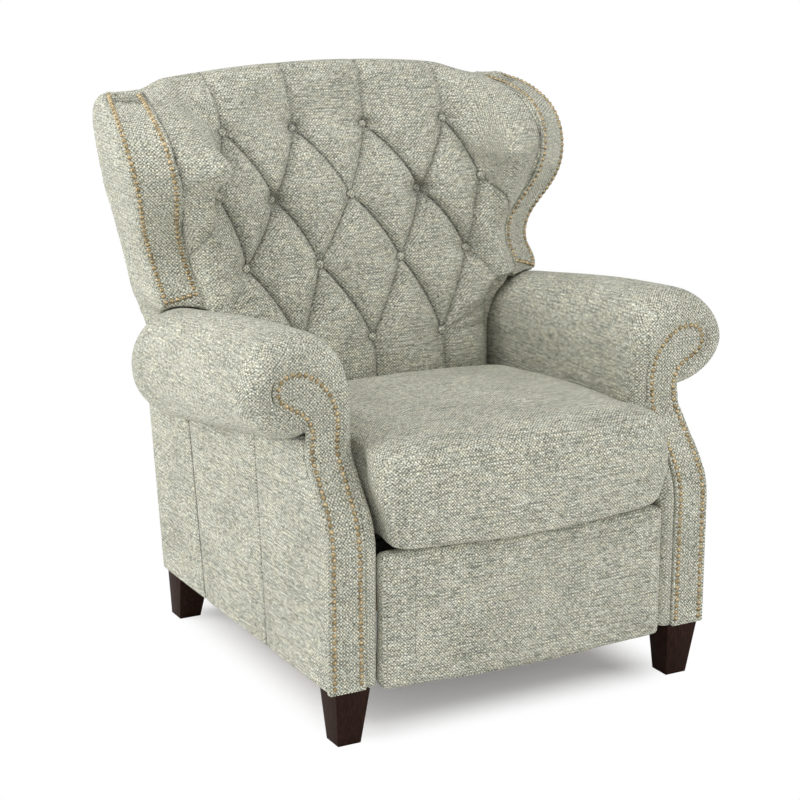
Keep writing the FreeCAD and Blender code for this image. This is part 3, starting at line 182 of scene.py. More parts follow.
# %% [markdown]
# ## Adding nodes and colours
# One function adds any shader node: its settings are keywords, and its inputs are numbers, other
# nodes' sockets, or nodes, of which the first output is meant. A colour ramp has two stops to begin
# with, so its ends are given before its middle.
# Colours are written as the hex values a paint chart gives, and turned to linear.

# %% Node helper and colour helper
def put(tree, kind, inputs=None, stops=(), **settings):
    """Add one shader node, set it and link it; stops are a colour ramp's places and colours."""
    made = tree.nodes.new("ShaderNode" + kind)
    for name, value in settings.items():
        setattr(made, name, value)
    for key, value in (inputs or {}).items():
        if isinstance(value, bpy.types.Node):
            value = value.outputs[0]
        if isinstance(value, bpy.types.NodeSocket):
            tree.links.new(value, made.inputs[key])
        else:
            made.inputs[key].default_value = value
    for number, (at, colour) in enumerate(stops):
        elements = made.color_ramp.elements
        element = elements[number] if number < 2 else elements.new(at)
        element.position, element.color = at, colour
    return made


def linear(hexcode):
    """sRGB hex to the linear colour that shaders use."""
    parts = [int(hexcode[i:i + 2], 16) / 255 for i in (1, 3, 5)]
    return [p / 12.92 if p <= 0.04045 else ((p + 0.055) / 1.055) ** 2.4 for p in parts] + [1.0]


def new_material(name):
    """An empty node material."""
    material = bpy.data.materials.new(name)
    material.use_nodes = True
    material.node_tree.nodes.clear()
    return material, material.node_tree


# %% [markdown]
# ## Tweed
# The cover is a hopsack tweed: cream yarns cross sage and slate ones. The tops of the yarns stand out
# as pale dots about 4.2 mm apart, in rows that are offset by half, with dark gaps between them. The
# yarns are uneven, so some dots run together and some gaps are dark, and slubs show as faint streaks.
# The weave is drawn from the Object coordinates on the three main planes and mixed by the way the
# surface faces. So a remeshed cushion needs no UV map. The difference of two cosines gives a lattice
# of dots turned by 45 degrees, which is how the offset rows come about. The trim, on the nailed
# panels, the wings' bands and the buttons, is the same cloth, drawn with a slightly wider weave.

# %% The tweed material
TWO_PI, WANDER = 2 * math.pi, 4.2


def tweed(name, streak, thread=4.2, contrast=1.1):
    """Woven tweed; streak is the run of its slubs in mm along x, y and z, thread its pitch in mm."""
    material, tree = new_material(name)
    where = put(tree, "TexCoord")
    spot, facing = where.outputs["Object"], where.outputs["Normal"]
    # threads wander a little, by about half a millimetre
    wander = put(tree, "TexNoise", {"Vector": spot, "Scale": 150.0, "Detail": 1.0}).outputs["Color"]
    centred = put(tree, "VectorMath", {0: wander, 1: (0.5, 0.5, 0.5)}, operation="SUBTRACT")
    shift = put(tree, "VectorMath", {0: centred, "Scale": WANDER * MM}, operation="SCALE")
    threads = put(tree, "VectorMath", {0: spot, 1: shift}, operation="ADD")
    turns = TWO_PI / (math.sqrt(2.0) * thread * MM)
    phase = put(tree, "VectorMath", {0: threads, "Scale": turns}, operation="SCALE")
    waves = put(tree, "VectorMath", {0: phase}, operation="COSINE")
    part = put(tree, "SeparateXYZ", {0: waves})
    lattices = [put(tree, "Math", {0: part.outputs[a], 1: part.outputs[b]}, operation="SUBTRACT")
                for a, b in ((1, 2), (0, 2), (0, 1))]
    crossings = put(tree, "CombineXYZ", dict(enumerate(lattices)))
    tops = put(tree, "VectorMath", {0: crossings}, operation="ABSOLUTE")
    # the facing to the eighth power leaves one plane in charge nearly everywhere
    weight = facing
    for _ in range(3):
        weight = put(tree, "VectorMath", {0: weight, 1: weight}, operation="MULTIPLY")
    total = put(tree, "VectorMath", {0: weight, 1: (2.0, 2.0, 2.0)},
                operation="DOT_PRODUCT").outputs["Value"]
    signed = put(tree, "VectorMath", {0: crossings, 1: weight}, operation="DOT_PRODUCT").outputs["Value"]
    weave = put(tree, "Math", {0: signed, 1: total}, operation="DIVIDE")
    over = put(tree, "MapRange", {"Value": weave, "From Min": -0.3, "From Max": 0.3})
    height = put(tree, "VectorMath", {0: tops, 1: weight}, operation="DOT_PRODUCT").outputs["Value"]
    ridge = put(tree, "Math", {0: height, 1: total}, operation="DIVIDE")

    # slubs: noise stretched along the yarn, in two lengths
    long_run = tuple(1.0 / (s * MM) for s in streak)
    short_run = tuple(1.0 / ((2.6 + 0.10 * s) * MM) for s in streak)
    run = put(tree, "Mapping", {"Vector": spot, "Scale": long_run})
    slub = put(tree, "TexNoise", {"Vector": run, "Scale": 1.0, "Detail": 3.0,
                                  "Roughness": 0.7})
    short = put(tree, "Mapping", {"Vector": spot, "Scale": short_run,
                                  "Location": (3.1, 7.7, 1.9)})
    fleck = put(tree, "TexNoise", {"Vector": short, "Scale": 1.0, "Detail": 2.0,
                                   "Roughness": 0.8})
    tone = put(tree, "TexNoise", {"Vector": spot, "Scale": 14.0, "Detail": 2.0})
    lean = put(tree, "TexNoise", {"Vector": short, "Scale": 0.3, "Detail": 1.0})

    sage = put(tree, "ValToRGB", {0: slub},
               stops=((0.36, linear("#969C91")), (0.60, linear("#D6D7C8")), (0.47, linear("#B9BBAC"))))
    cream = put(tree, "ValToRGB", {0: fleck},
                stops=((0.38, linear("#A4A898")), (0.62, linear("#EBEADC")), (0.50, linear("#DBD9C8"))))
    yarns = put(tree, "Mix", {0: over, 6: sage, 7: cream}, data_type="RGBA")
    # patches a hand wide lean to slate or to straw
    patch = put(tree, "ValToRGB", {0: lean},
                stops=((0.38, (0.97, 0.98, 0.985, 1.0)), (0.62, (1.0, 0.98, 0.94, 1.0))))
    tinted = put(tree, "VectorMath", {0: yarns.outputs[2], 1: patch}, operation="MULTIPLY")

    # the gaps between threads are darker; painted shade from the fold attribute darkens the colour at
    # the bottom of folds, round buttons, along seams and under the arm's roll
    uneven = put(tree, "Math", {0: fleck, 1: 0.5}, operation="SUBTRACT")
    filled = put(tree, "Math", {0: uneven, 1: 1.5, 2: ridge}, operation="MULTIPLY_ADD")
    gap = put(tree, "MapRange", {"Value": filled, "From Min": 0.02, "From Max": 0.60,
                                 "To Min": 1.0 - 0.64 * contrast, "To Max": 1.19})
    drift = put(tree, "MapRange", {"Value": tone, "From Min": 0.35, "From Max": 0.65,
                                   "To Min": 0.93, "To Max": 1.07})
    # painted shade: the fold attribute darkens the colour down to a fifth at its strongest
    fold = put(tree, "Attribute", attribute_name="fold").outputs["Fac"]
    painted_fold_shade = put(tree, "MapRange", {"Value": fold, "To Min": 1.0, "To Max": 0.2})
    shade = put(tree, "Math", {0: gap, 1: drift}, operation="MULTIPLY")
    shade = put(tree, "Math", {0: shade, 1: painted_fold_shade}, operation="MULTIPLY")
    colour = put(tree, "VectorMath", {0: tinted, "Scale": shade}, operation="SCALE")

    height = put(tree, "Math", {0: ridge, 1: fleck}, operation="ADD")
    bump = put(tree, "Bump", {"Height": height, "Distance": 0.9 * MM, "Strength": 0.6})
    shader = put(tree, "BsdfPrincipled", {"Base Color": colour, "Normal": bump, "Roughness": 0.92,
                                          "Specular IOR Level": 0.2, "Sheen Weight": 0.08,
                                          "Sheen Roughness": 0.5})
    put(tree, "OutputMaterial", {"Surface": shader})
    return material


tweed_across = tweed("tweed_streaked_across", (58.0, 4.0, 4.0))
tweed_along = tweed("tweed_streaked_front_to_back", (4.0, 58.0, 4.0))
tweed_pebble = tweed("tweed_pebble_trim", (9.0, 5.0, 4.0), thread=4.4, contrast=1.14)
print("tweeds:", tweed_across.name, tweed_along.name, tweed_pebble.name)

# %% [markdown]
# ## Brass, wood, steel, webbing and platform cloth
# The nail heads are pressed brass with an antique finish: brown lacquer stays low on the dome and
# wears off its top. The legs are hardwood with an espresso stain and a satin lacquer; the grain runs
# down the leg. The frame inside is plain planed hardwood. The mechanism is black painted steel.

# %% Brass, stained wood and plain wood
def antique_brass(name):
    """Brass under worn brown lacquer."""
    material, tree = new_material(name)
    spot = put(tree, "TexCoord").outputs["Object"]
    patch = put(tree, "TexNoise", {"Vector": spot, "Scale": 160.0, "Detail": 2.0})
    worn = put(tree, "ValToRGB", {0: patch},
               stops=((0.40, linear("#85775A")), (0.60, linear("#B8A684"))))
    shader = put(tree, "BsdfPrincipled", {"Base Color": worn, "Metallic": 1.0,
                                          "Roughness": 0.42})
    put(tree, "OutputMaterial", {"Surface": shader})
    return material


def grained_wood(name, dark, light, run, gloss, shine=0.5):
    """Wood with its grain along one axis; run gives the grain's size in mm along x, y and z."""
    material, tree = new_material(name)
    spot = put(tree, "TexCoord").outputs["Object"]
    scale = tuple(1.0 / (s * MM) for s in run)
    stretched = put(tree, "Mapping", {"Vector": spot, "Scale": scale})
    grain = put(tree, "TexNoise", {"Vector": stretched, "Scale": 1.0, "Detail": 5.0,
                                   "Roughness": 0.7})
    stain = put(tree, "ValToRGB", {0: grain}, stops=((0.35, linear(dark)), (0.68, linear(light))))
    bump = put(tree, "Bump", {"Height": grain, "Distance": 0.2 * MM, "Strength": 0.35})
    shader = put(tree, "BsdfPrincipled", {"Base Color": stain, "Normal": bump,
                                          "Roughness": gloss, "Specular IOR Level": shine})
    put(tree, "OutputMaterial", {"Surface": shader})
    return material


brass = antique_brass("antique_brass_nail_heads")
espresso = grained_wood("espresso_stained_hardwood", "#1B100B", "#38221A", (2.2, 2.2, 60.0), 0.5,
                        shine=0.08)
plain_wood = grained_wood("planed_hardwood", "#9C8260", "#BEA47C", (60.0, 60.0, 4.0), 0.6)
print("brass and woods:", brass.name, espresso.name, plain_wood.name)


# %% Painted steel and the two inner cloths
def painted_steel(name):
    """Black satin paint on steel, slightly uneven as sprayed paint is."""
    material, tree = new_material(name)
    spot = put(tree, "TexCoord").outputs["Object"]
    peel = put(tree, "TexNoise", {"Vector": spot, "Scale": 900.0, "Detail": 2.0})
    tint = put(tree, "ValToRGB", {0: peel}, stops=((0.0, linear("#1B1B1D")), (1.0, linear("#2B2B2E"))))
    bump = put(tree, "Bump", {"Height": peel, "Distance": 0.1 * MM, "Strength": 0.3})
    shader = put(tree, "BsdfPrincipled", {"Base Color": tint, "Normal": bump,
                                          "Roughness": 0.42})
    put(tree, "OutputMaterial", {"Surface": shader})
    return material


def plain_weave(name, dark, light, thread):
    """A plain cloth: one thread over, one under; thread is its pitch in mm."""
    material, tree = new_material(name)
    spot = put(tree, "TexCoord").outputs["Object"]
    turns = TWO_PI / (2 * thread * MM)
    phase = put(tree, "VectorMath", {0: spot, "Scale": turns}, operation="SCALE")
    waves = put(tree, "VectorMath", {0: phase}, operation="SINE")
    part = put(tree, "SeparateXYZ", {0: waves})
    upright = put(tree, "Math", {0: part.outputs[1], 1: part.outputs[2]}, operation="ADD")
    weave = put(tree, "Math", {0: part.outputs[0], 1: upright}, operation="MULTIPLY")
    over = put(tree, "MapRange", {"Value": weave, "From Min": -1.0})
    yarns = put(tree, "ValToRGB", {0: over}, stops=((0.0, linear(dark)), (1.0, linear(light))))
    bump = put(tree, "Bump", {"Height": weave, "Distance": 0.4 * MM, "Strength": 0.5})
    shader = put(tree, "BsdfPrincipled", {"Base Color": yarns, "Normal": bump,
                                          "Roughness": 0.95})
    put(tree, "OutputMaterial", {"Surface": shader})
    return material


steel = painted_steel("black_painted_steel")
jute = plain_weave("jute_webbing", "#7D6A48", "#B09A70", 3.0)
platform_cloth = plain_weave("platform_cloth", "#3A3C3A", "#575A56", 1.2)

# %% [markdown]
# ## Finishes for the CAD parts
# The record names a finish for each part, so one loop hands them out. The seat's and the back's
# wooden frames are an exception: they are wrapped in dark platform cloth, as is usual where a gap
# beside a cushion would show bare wood, and the dark cloth also stands in for the shade in those gaps.

# %% Handing out the finishes
FINISHES = {"tweed": tweed_across, "espresso_wood": espresso, "antique_brass": brass,
            "frame_wood": plain_wood, "steel": steel, "webbing": jute, "deck_cloth": platform_cloth}
for row in frame["record"]["subparts"]:
    node = frame["nodes"][row["node"]]
    node.data.materials.clear()
    node.data.materials.append(FINISHES[row["material_slot"]])
# partly painted shade: the dark cloth on these frames stands in for the shade in the gaps beside the
# cushions
for wrapped_frame in ("seat_frame", "back_frame"):
    frame["nodes"][wrapped_frame].data.materials[0] = platform_cloth

# %% [markdown]
# ## Legs
# Each leg is a square block of hardwood that tapers to its foot; the edges are eased with
# sandpaper, so they catch a thin line of light. A cube is added at the leg's size and its bottom
# face is scaled and moved, which is quicker than drawing the taper. The rear legs rake backwards.

# %% Four tapered legs
LEG_HEIGHT, LEG_TOP, LEG_FOOT, LEG_EASE = 103.0, 65.0, 44.0, 1.6
LEG_X = 338.5
LEG_ROWS = {"front": (-370.5, 5.0), "rear": (309.5, 22.0)}  # depth of the top, and the rake


def tapered_leg(name, x, y, rake):
    """A leg with its top at (x, y) and its foot moved along y by the rake, in mm."""
    bpy.ops.object.select_all(action="DESELECT")
    bpy.ops.mesh.primitive_cube_add(size=1.0)
    obj = bpy.context.object
    obj.name = name
    bpy.ops.object.mode_set(mode="EDIT")
    bpy.ops.transform.resize(value=(LEG_TOP * MM, LEG_TOP * MM, LEG_HEIGHT * MM))
    bpy.ops.transform.translate(value=(x * MM, y * MM, LEG_HEIGHT * MM / 2))
    shape = bmesh.from_edit_mesh(obj.data)
    for face in shape.faces:
        face.select = face.normal.z < -0.9
    shape.select_flush_mode()
    bmesh.update_edit_mesh(obj.data)
    share = LEG_FOOT / LEG_TOP
    bpy.ops.transform.resize(value=(share, share, 1.0), center_override=(x * MM, y * MM, 0.0))
    bpy.ops.transform.translate(value=(0.0, rake * MM, 0.0))
    bpy.ops.object.mode_set(mode="OBJECT")
    modify(obj, "BEVEL", width=LEG_EASE * MM, segments=3, limit_method="ANGLE")
    bpy.ops.object.shade_smooth_by_angle(angle=math.radians(40))
    return obj


SIDES = ((-1, "left"), (1, "right"))
for side, word in SIDES:
    for place, (y, rake) in LEG_ROWS.items():
        leg = tapered_leg(word + "_" + place + "_leg_turned", side * LEG_X, y, rake)
        fit(leg, "base", espresso, [word + "_" + place + "_leg"])

# %% [markdown]
# ## The arm's outline
# Three curves shape each arm: the S of its front edge, the raked line of its rear edge and the
# roll's sloping crest. They are written once here as functions of height or depth, and the side
# panels, the roll and the lower end of the wings all read them.

# %% Front sweep, rear edge and roll heights
BASE_Z = LEG_HEIGHT
REAR_FOOT, REAR_RAKE = 342.0, 0.161
CREST_START, CREST_END, CREST_FRONT, CREST_DROP = -314.0, 180.0, 705.0, 49.0
ROLL_TALL, ROLL_GROWS = 180.0, 29.0
FRONT, SWEEP_START, SWEEP_BACK = -403.0, 338.0, 91.0
LOW_R, HIGH_R, TURN = 130.0, 35.0, math.radians(39.0)
low_end_y = FRONT + LOW_R * (1 - math.cos(TURN))
low_end_z = SWEEP_START + LOW_R * math.sin(TURN)
high_start_y = FRONT + SWEEP_BACK - HIGH_R * (1 - math.cos(TURN))
straight = (high_start_y - low_end_y) / math.sin(TURN)
high_start_z = low_end_z + straight * math.cos(TURN)
sweep_end = high_start_z + HIGH_R * math.sin(TURN)


def sweep_front(z):
    """Depth of the arm's front edge at a height."""
    if z < SWEEP_START:
        return FRONT
    if z < low_end_z:
        return FRONT + LOW_R - math.sqrt(LOW_R ** 2 - (z - SWEEP_START) ** 2)
    if z < high_start_z:
        return low_end_y + (z - low_end_z) * math.tan(TURN)
    if z < sweep_end:
        return FRONT + SWEEP_BACK - HIGH_R + math.sqrt(HIGH_R ** 2 - (sweep_end - z) ** 2)
    return FRONT + SWEEP_BACK


def rear_edge(z):
    """Depth of the raked rear edge of the arms."""
    return REAR_FOOT + REAR_RAKE * (z - BASE_Z)


def crest(y):
    """Height of the roll's top at a depth."""
    return CREST_FRONT - CREST_DROP * (y - CREST_START) / (CREST_END - CREST_START)


def roll_bottom(y):
    """Height of the roll's underside at a depth."""
    share = min(max((y - CREST_START) / (CREST_END - CREST_START), 0.0), 1.0)
    return crest(min(y, CREST_END)) - ROLL_TALL - ROLL_GROWS * share


print("the sweep ends at a height of", round(sweep_end, 1), "mm")

# %% [markdown]
# ## Side panels
# The cloth outside each arm is sewn from three widths. The seams are pressed flat and pull the
# padding in, so each is a fine groove with a soft swell on both sides. A grid is laid between the
# front edge, the two seams and the rear edge, with its lines crowded near the seams. Its copy on the
# inner side and a rim between the two give it the thickness of the padded board.

# %% Where the sewn widths end
PANEL_X, PANEL_THICK, TUCK, FACING_ROOM = 380.0, 12.0, 6.0, 10.3


def seam_line(top, bottom):
    """A straight seam from (y, z) at the top to (y, z) at the bottom."""
    return lambda z: bottom[0] + (top[0] - bottom[0]) * (z - bottom[1]) / (top[1] - bottom[1])


edges = [lambda z: sweep_front(z) + FACING_ROOM, seam_line((-107.0, 482.0), (-146.0, 107.0)),
         seam_line((190.0, 438.0), (130.0, 104.0)), rear_edge]
print("width at the bottom:", round(edges[3](BASE_Z) - edges[0](BASE_Z), 1), "mm")

# %% The sewn side panels
STRIP_COLUMNS, PANEL_ROWS, FIRST_GUESS = 44, 120, 350.0
SWELL, SWELL_REACH, GROOVE, GROOVE_REACH, RIM, RIM_REACH = 2.6, 14.0, 1.6, 1.3, 3.2, 1.6
# how dark and how wide the painted shade is at the rear seam, at the front seam and under the roll
DARK_REAR, DARK_FRONT, DARK_TOP = (0.9, 2.4), (0.6, 1.8), (0.75, 3.0)


def side_panel(name, side):
    """The outer cloth of one arm, with its two seams."""
    columns = [(k, 0.5 - 0.5 * math.cos(math.pi * i / STRIP_COLUMNS))
               for k in range(3) for i in range(STRIP_COLUMNS + (k == 2))]
    grid, folds = [], []
    for j in range(PANEL_ROWS + 1):
        t = 0.5 - 0.5 * math.cos(math.pi * j / PANEL_ROWS)
        t = 0.75 * j / PANEL_ROWS + 0.25 * t
        for k, share in columns:
            # the height depends on the depth and the other way round, so both are found in turns
            z = BASE_Z + t * FIRST_GUESS
            for _ in range(4):
                y = edges[k](z) + share * (edges[k + 1](z) - edges[k](z))
                z = BASE_Z + t * (roll_bottom(y) + TUCK - BASE_Z)
            near = min(share, 1.0 - share) * (edges[k + 1](z) - edges[k](z))
            border = min(y - edges[0](z), edges[3](z) - y, z - BASE_Z)
            front_seam, rear_seam = abs(y - edges[1](z)), abs(y - edges[2](z))
            groove = GROOVE * math.exp(-min(front_seam, rear_seam) / GROOVE_REACH)
            swell = SWELL * (1.0 - math.exp(-near / SWELL_REACH)) - groove
            grid.append((side * (PANEL_X + swell - RIM * math.exp(-border / RIM_REACH)), y, z))
            # painted shade: the cloth is darkened along both seams and in a line under the roll
            under_roll = max(roll_bottom(y) - z, 0.0)
            folds.append(max(dark * bell(away, width) for away, (dark, width) in (
                (rear_seam, DARK_REAR), (front_seam, DARK_FRONT), (under_roll, DARK_TOP))))
    wide, count = len(columns), len(grid)
    faces = [(j * wide + i, j * wide + i + 1, (j + 1) * wide + i + 1, (j + 1) * wide + i)
             for j in range(PANEL_ROWS) for i in range(wide - 1)]
    inner = [(side * (PANEL_X - PANEL_THICK), y, z) for _, y, z in grid]
    faces += [tuple(count + i for i in reversed(face)) for face in faces]
    rim = ([i for i in range(wide)] + [j * wide + wide - 1 for j in range(1, PANEL_ROWS + 1)]
           + [PANEL_ROWS * wide + i for i in range(wide - 2, -1, -1)]
           + [j * wide for j in range(PANEL_ROWS - 1, 0, -1)])
    faces += [(a, b, b + count, a + count) for a, b in zip(rim, rim[1:] + rim[:1])]
    return mesh_piece(name, grid + inner, faces, folds + [0.0] * count, FINE_MERGE)


for side, word in SIDES:
    panel = side_panel(word + "_side_cloth", side)
    fit(panel, "base", tweed_along, [word + "_side_panel"])

# %% [markdown]
# ## Rolled arms, their front panels and rear covers
# An arm is foam over a wooden frame with the cloth pulled tight, so it has no hard edge anywhere.
# The CAD arm already has the right bulk. A copy of it is remeshed in small even squares and
# smoothed, which rounds every edge by a few millimetres, as padding does. The front panel is a thin
# padded board set into the arm, so it is rebuilt finer, and the gap round it stays as a dark seam.

# %% Arms, front panels and rear covers
CREST_BOW, BOW_Y, BOW_Z = 7.5, (-310.0, 180.0), (600.0, 680.0)
FRONT_FULL, FULL_AT, FULL_REACH, FULL_X, FULL_Z = 8.0, -275.0, 80.0, (400.0, 460.0), (500.0, 700.0)
EDGE_PLUMP, FACE_PLUMP, SIDEWAYS = 2.2, 0.5, 0.75
POST_WRAP, WRAP_LIFT, COVER_TOP = 66.0, 2.5, 440.0

for _, word in SIDES:
    # the arm's crest is bowed, and its roll is fullest near the front
    arm = padded_copy(word + "_arm_pad", word + "_arm_cover", voxel=4.0, rounds=6)
    stuffed = points(arm)
    outside_x, y, z = np.abs(stuffed[:, 0]), stuffed[:, 1], stuffed[:, 2].copy()
    bowed = CREST_BOW * np.sin(math.pi * ramp(y, *BOW_Y))
    fuller = FRONT_FULL * bell(y - FULL_AT, FULL_REACH) * np.sin(math.pi * ramp(z, *FULL_Z))
    stuffed[:, 2] += bowed * ramp(z, *BOW_Z)
    stuffed[:, 0] += np.sign(stuffed[:, 0]) * fuller * ramp(outside_x, *FULL_X)
    set_points(arm, stuffed)
    fit(arm, "base", tweed_along, [word + "_arm_pad"])
    # the front panel's padding is plumper round its edge than on its face
    front_panel = padded_copy(word + "_arm_facing", word + "_arm_front_panel", voxel=2.0, rounds=3)
    out = normals(front_panel)
    plump = np.where(np.abs(out[:, 1]) < SIDEWAYS, EDGE_PLUMP, FACE_PLUMP)
    set_points(front_panel, points(front_panel) + out * plump[:, None])
    fit(front_panel, "base", tweed_pebble, [word + "_arm_facing"])
    rear_cover = padded_copy(word + "_arm_rear_cover", word + "_arm_rear_cloth", voxel=2.4, rounds=2)
    # its top edge folds forward over the post, up to the roll
    wrapped = points(rear_cover)
    at_top = ramp(wrapped[:, 2], COVER_TOP, COVER_TOP + 4.0)
    front_face = rear_edge(COVER_TOP + 6.0) - 2.0
    wrapped[:, 1] -= POST_WRAP * at_top * ramp(wrapped[:, 1], front_face, front_face - 3.0)
    wrapped[:, 2] += WRAP_LIFT * at_top
    set_points(rear_cover, wrapped)
    fit(rear_cover, "base", tweed_across, [word + "_arm_rear_cover"])

# %% [markdown]
# ## The tufted inside back
# The inside of the back and of both wings is one piece of cloth over deep padding. Buttons in rows
# of four, five, four and three pull it down in diamonds, and the spare cloth between two buttons
# is folded into a pleat. Over the crown and at the bottom the pleats run straight.
# The undimpled shape is built first, for one half: a row of curves from the middle to the wing at
# several heights, joined by a smooth spline from the bottom, over the crown and down behind it.
# Every point is then pushed in by its distance from the nearest buttons and pleats. A pleat is deep
# at its buttons and shallow half way, which is what makes it look bowed from the side.

# %% Measures of the back and the wings
BACK_FRONT, CROWN, CROWN_DROP, CROWN_HALF, WING_TOP = 146.0, 1075.0, 26.0, 366.0, 1033.0
ROOT_X, CROWN_LAP, BAND_MARGIN, BAND_PROUD = 300.0, 42.0, 8.0, 3.0
STEP_IN, STEP_RUN, BEND_Z, UPPER_RAKE = 46.0, 66.0, 600.0, 0.065
# height, then x and y of the outer nail row and x and y of the inner nail row, of the right wing
WING = np.array([
    (560, 400, 226, 346, 198), (655, 401, 233, 348, 204), (700, 404, 266, 350.5, 238),
    (745, 412.5, 278, 358, 256), (800, 434, 252, 375.5, 234), (870, 454, 220, 392, 191.5),
    (930, 463, 234, 401.5, 195), (970, 463.5, 266, 404.5, 225), (1000, 457, 314, 402, 275),
    (1022, 441, 386, 389, 352), (1032, 426, 430, 381, 398)])


def back_rear(z):
    """Depth of the back's rear face: it follows the arms, then stands straighter."""
    return rear_edge(np.minimum(z, BEND_Z)) + UPPER_RAKE * np.maximum(0.0, z - BEND_Z)


def arch(x):
    """Height of the crown's ridge before it steps down to the wings."""
    return CROWN - CROWN_DROP * (x / CROWN_HALF) ** 2


def crown_top(x):
    """Height of the crown's ridge, which steps down to the wings at its ends."""
    step = eased(ramp(np.abs(x), CROWN_HALF - STEP_IN, CROWN_HALF - STEP_IN + STEP_RUN))
    return arch(x) + (WING_TOP - arch(x)) * step


def panel_top(x):
    """Height of the rear panel's top edge."""
    return arch(x) - CROWN_LAP


def pad_depth(x, z):
    """Depth of the padding's front at a place on the pad itself."""
    rake = np.interp(z, (500, 562, 706, 829, 890, 951, 1010, 1075), (0, 8, 58, 104, 144, 190, 224, 262))
    bow = np.interp(z, (706, 829, 951, 1010, 1060), (0, 12, 33, 28, 0))
    return BACK_FRONT + rake - bow * np.minimum(np.abs(x) / 240.0, 1.0) ** 2


def seam_corner(z):
    """Where the inside cloth meets the wing's nailed band, at a height."""
    ox, oy, ix, iy = (np.interp(z, WING[:, 0], WING[:, k]) for k in (1, 2, 3, 4))
    length = math.hypot(ox - ix, oy - iy)
    ax, ay = (ox - ix) / length, (oy - iy) / length
    return ix - ax * BAND_MARGIN - ay * BAND_PROUD, iy - ay * BAND_MARGIN + ax * BAND_PROUD


print("crown at the middle and at 350 mm:", CROWN, round(float(crown_top(350.0)), 1))


# %% A smooth line through given points
def smooth_through(knots, values, at):
    """A natural cubic spline through rows of values, read at other knots."""
    n = len(knots)
    gaps = np.diff(knots)
    system, right = np.eye(n), np.zeros((n, values.shape[1]))
    for k in range(1, n - 1):
        system[k, k - 1:k + 2] = gaps[k - 1], 2 * (gaps[k - 1] + gaps[k]), gaps[k]
        right[k] = 6 * ((values[k + 1] - values[k]) / gaps[k]
                        - (values[k] - values[k - 1]) / gaps[k - 1])
    bend = np.linalg.solve(system, right)
    k = np.clip(np.searchsorted(knots, at) - 1, 0, n - 2)
    h, a, b = gaps[k][:, None], (knots[k + 1] - at)[:, None], (at - knots[k])[:, None]
    return ((bend[k] * a ** 3 + bend[k + 1] * b ** 3) / (6 * h)
            + (values[k] / h - bend[k] * h / 6) * a + (values[k + 1] / h - bend[k + 1] * h / 6) * b)


def lengths_along(rows):
    """How far along the line through these points each one lies."""
    steps = np.linalg.norm(np.diff(rows, axis=0), axis=1)
    return np.concatenate([[0.0], np.cumsum(steps)])


# %% One curve from the middle to a wing, at any height
PAD_COLUMNS, WING_COLUMNS, DENSE = 100, 44, 900
ROOT_BACK, FILL_IN, FILL_OUT, PILLOW_IN, PILLOW_OUT, PILLOW_ROOT = 2.0, 5.0, 12.0, 17.0, 22.0, 10.0
shares = np.linspace(0.0, 1.0, WING_COLUMNS + 1)[1:]
pad_x = np.linspace(0.0, ROOT_X, PAD_COLUMNS + 1)


def level(z):
    """One curve from the chair's middle to the right wing's band: x and y of every column."""
    cx, cy = seam_corner(z)
    root_y = float(pad_depth(ROOT_X, z)) - ROOT_BACK
    # how full the wing's padding is at this height
    pillow = float(np.interp(z, (700, 800, 950, 1020), (0.0, 1.0, 1.0, 0.2)))
    middle = (0.5 * (ROOT_X + cx) - FILL_IN - PILLOW_IN * pillow,
              0.5 * (root_y + cy) - FILL_OUT - PILLOW_OUT * pillow)
    given = np.array([(x, float(pad_depth(x, z))) for x in (-80.0, 0.0, 80.0, 160.0, 240.0)]
                     + [(ROOT_X, root_y - PILLOW_ROOT * pillow), middle, (cx, cy)])
    knots = lengths_along(given)
    dense_at = np.linspace(0.0, knots[-1], DENSE)
    dense = smooth_through(knots, given, dense_at)
    y_pad = np.interp(pad_x, dense[:, 0], dense[:, 1])
    start = np.interp(ROOT_X, dense[:, 0], dense_at)
    wing_at = start + shares * (knots[-1] - start)
    return (np.concatenate([pad_x, np.interp(wing_at, dense_at, dense[:, 0])]),
            np.concatenate([y_pad, np.interp(wing_at, dense_at, dense[:, 1])]))


print("columns in one half:", len(pad_x) + len(shares))

# %% The net of curves, and the undimpled shape through it
LEVELS = (340.0, 420.0, 500.0, 570.0, 655.0, 700.0, 745.0, 790.0, 829.0, 890.0, 951.0, 1005.0)
BROW_Z, CORNER_Z, RIDGE_BACK, LAP_GAP, ROW_STEP = 1022.0, 1031.0, 44.0, 0.3, 2.9
BROW_OUT, TAIL_OUT, LAP_IN = 6.0, 11.0, 1.0
net = []
for z in LEVELS:
    x, y = level(z)
    net.append(np.stack([x, y, np.full_like(x, z)], axis=1))
corner_x, (brow_end_x, brow_end_y) = seam_corner(CORNER_Z)[0], seam_corner(BROW_Z)
top_x = np.concatenate([pad_x, ROOT_X + shares * (corner_x - ROOT_X)])
top_z = crown_top(top_x)
ridge_y = back_rear(top_z) - RIDGE_BACK
across = ramp(top_x, ROOT_X, corner_x)
brow_x = top_x + across * (brow_end_x - corner_x)
brow_y = (1 - across) * (0.5 * (net[-1][:, 1] + ridge_y) - BROW_OUT) + across * brow_end_y
low_z = panel_top(top_x) + LAP_GAP
tail_y = back_rear(low_z)
net += [np.stack([brow_x, brow_y, 0.4 * LEVELS[-1] + 0.6 * top_z], axis=1),
        np.stack([top_x, ridge_y, top_z], axis=1),
        np.stack([top_x, tail_y - TAIL_OUT, 0.72 * top_z + 0.28 * low_z], axis=1),
        np.stack([top_x, tail_y + LAP_IN, low_z], axis=1)]
net = np.array(net)
knots = lengths_along(net[:, 0])
row_at = np.linspace(0.0, knots[-1], int(knots[-1] / ROW_STEP))
skin = smooth_through(knots, net.reshape(len(net), -1), row_at).reshape(len(row_at), -1, 3)
x_all, z_all = skin[:, :, 0], skin[:, :, 2]
s_all = np.broadcast_to(row_at[:, None], x_all.shape)
ridge_at = knots[len(LEVELS) + 1]
print("inside back grid:", skin.shape)

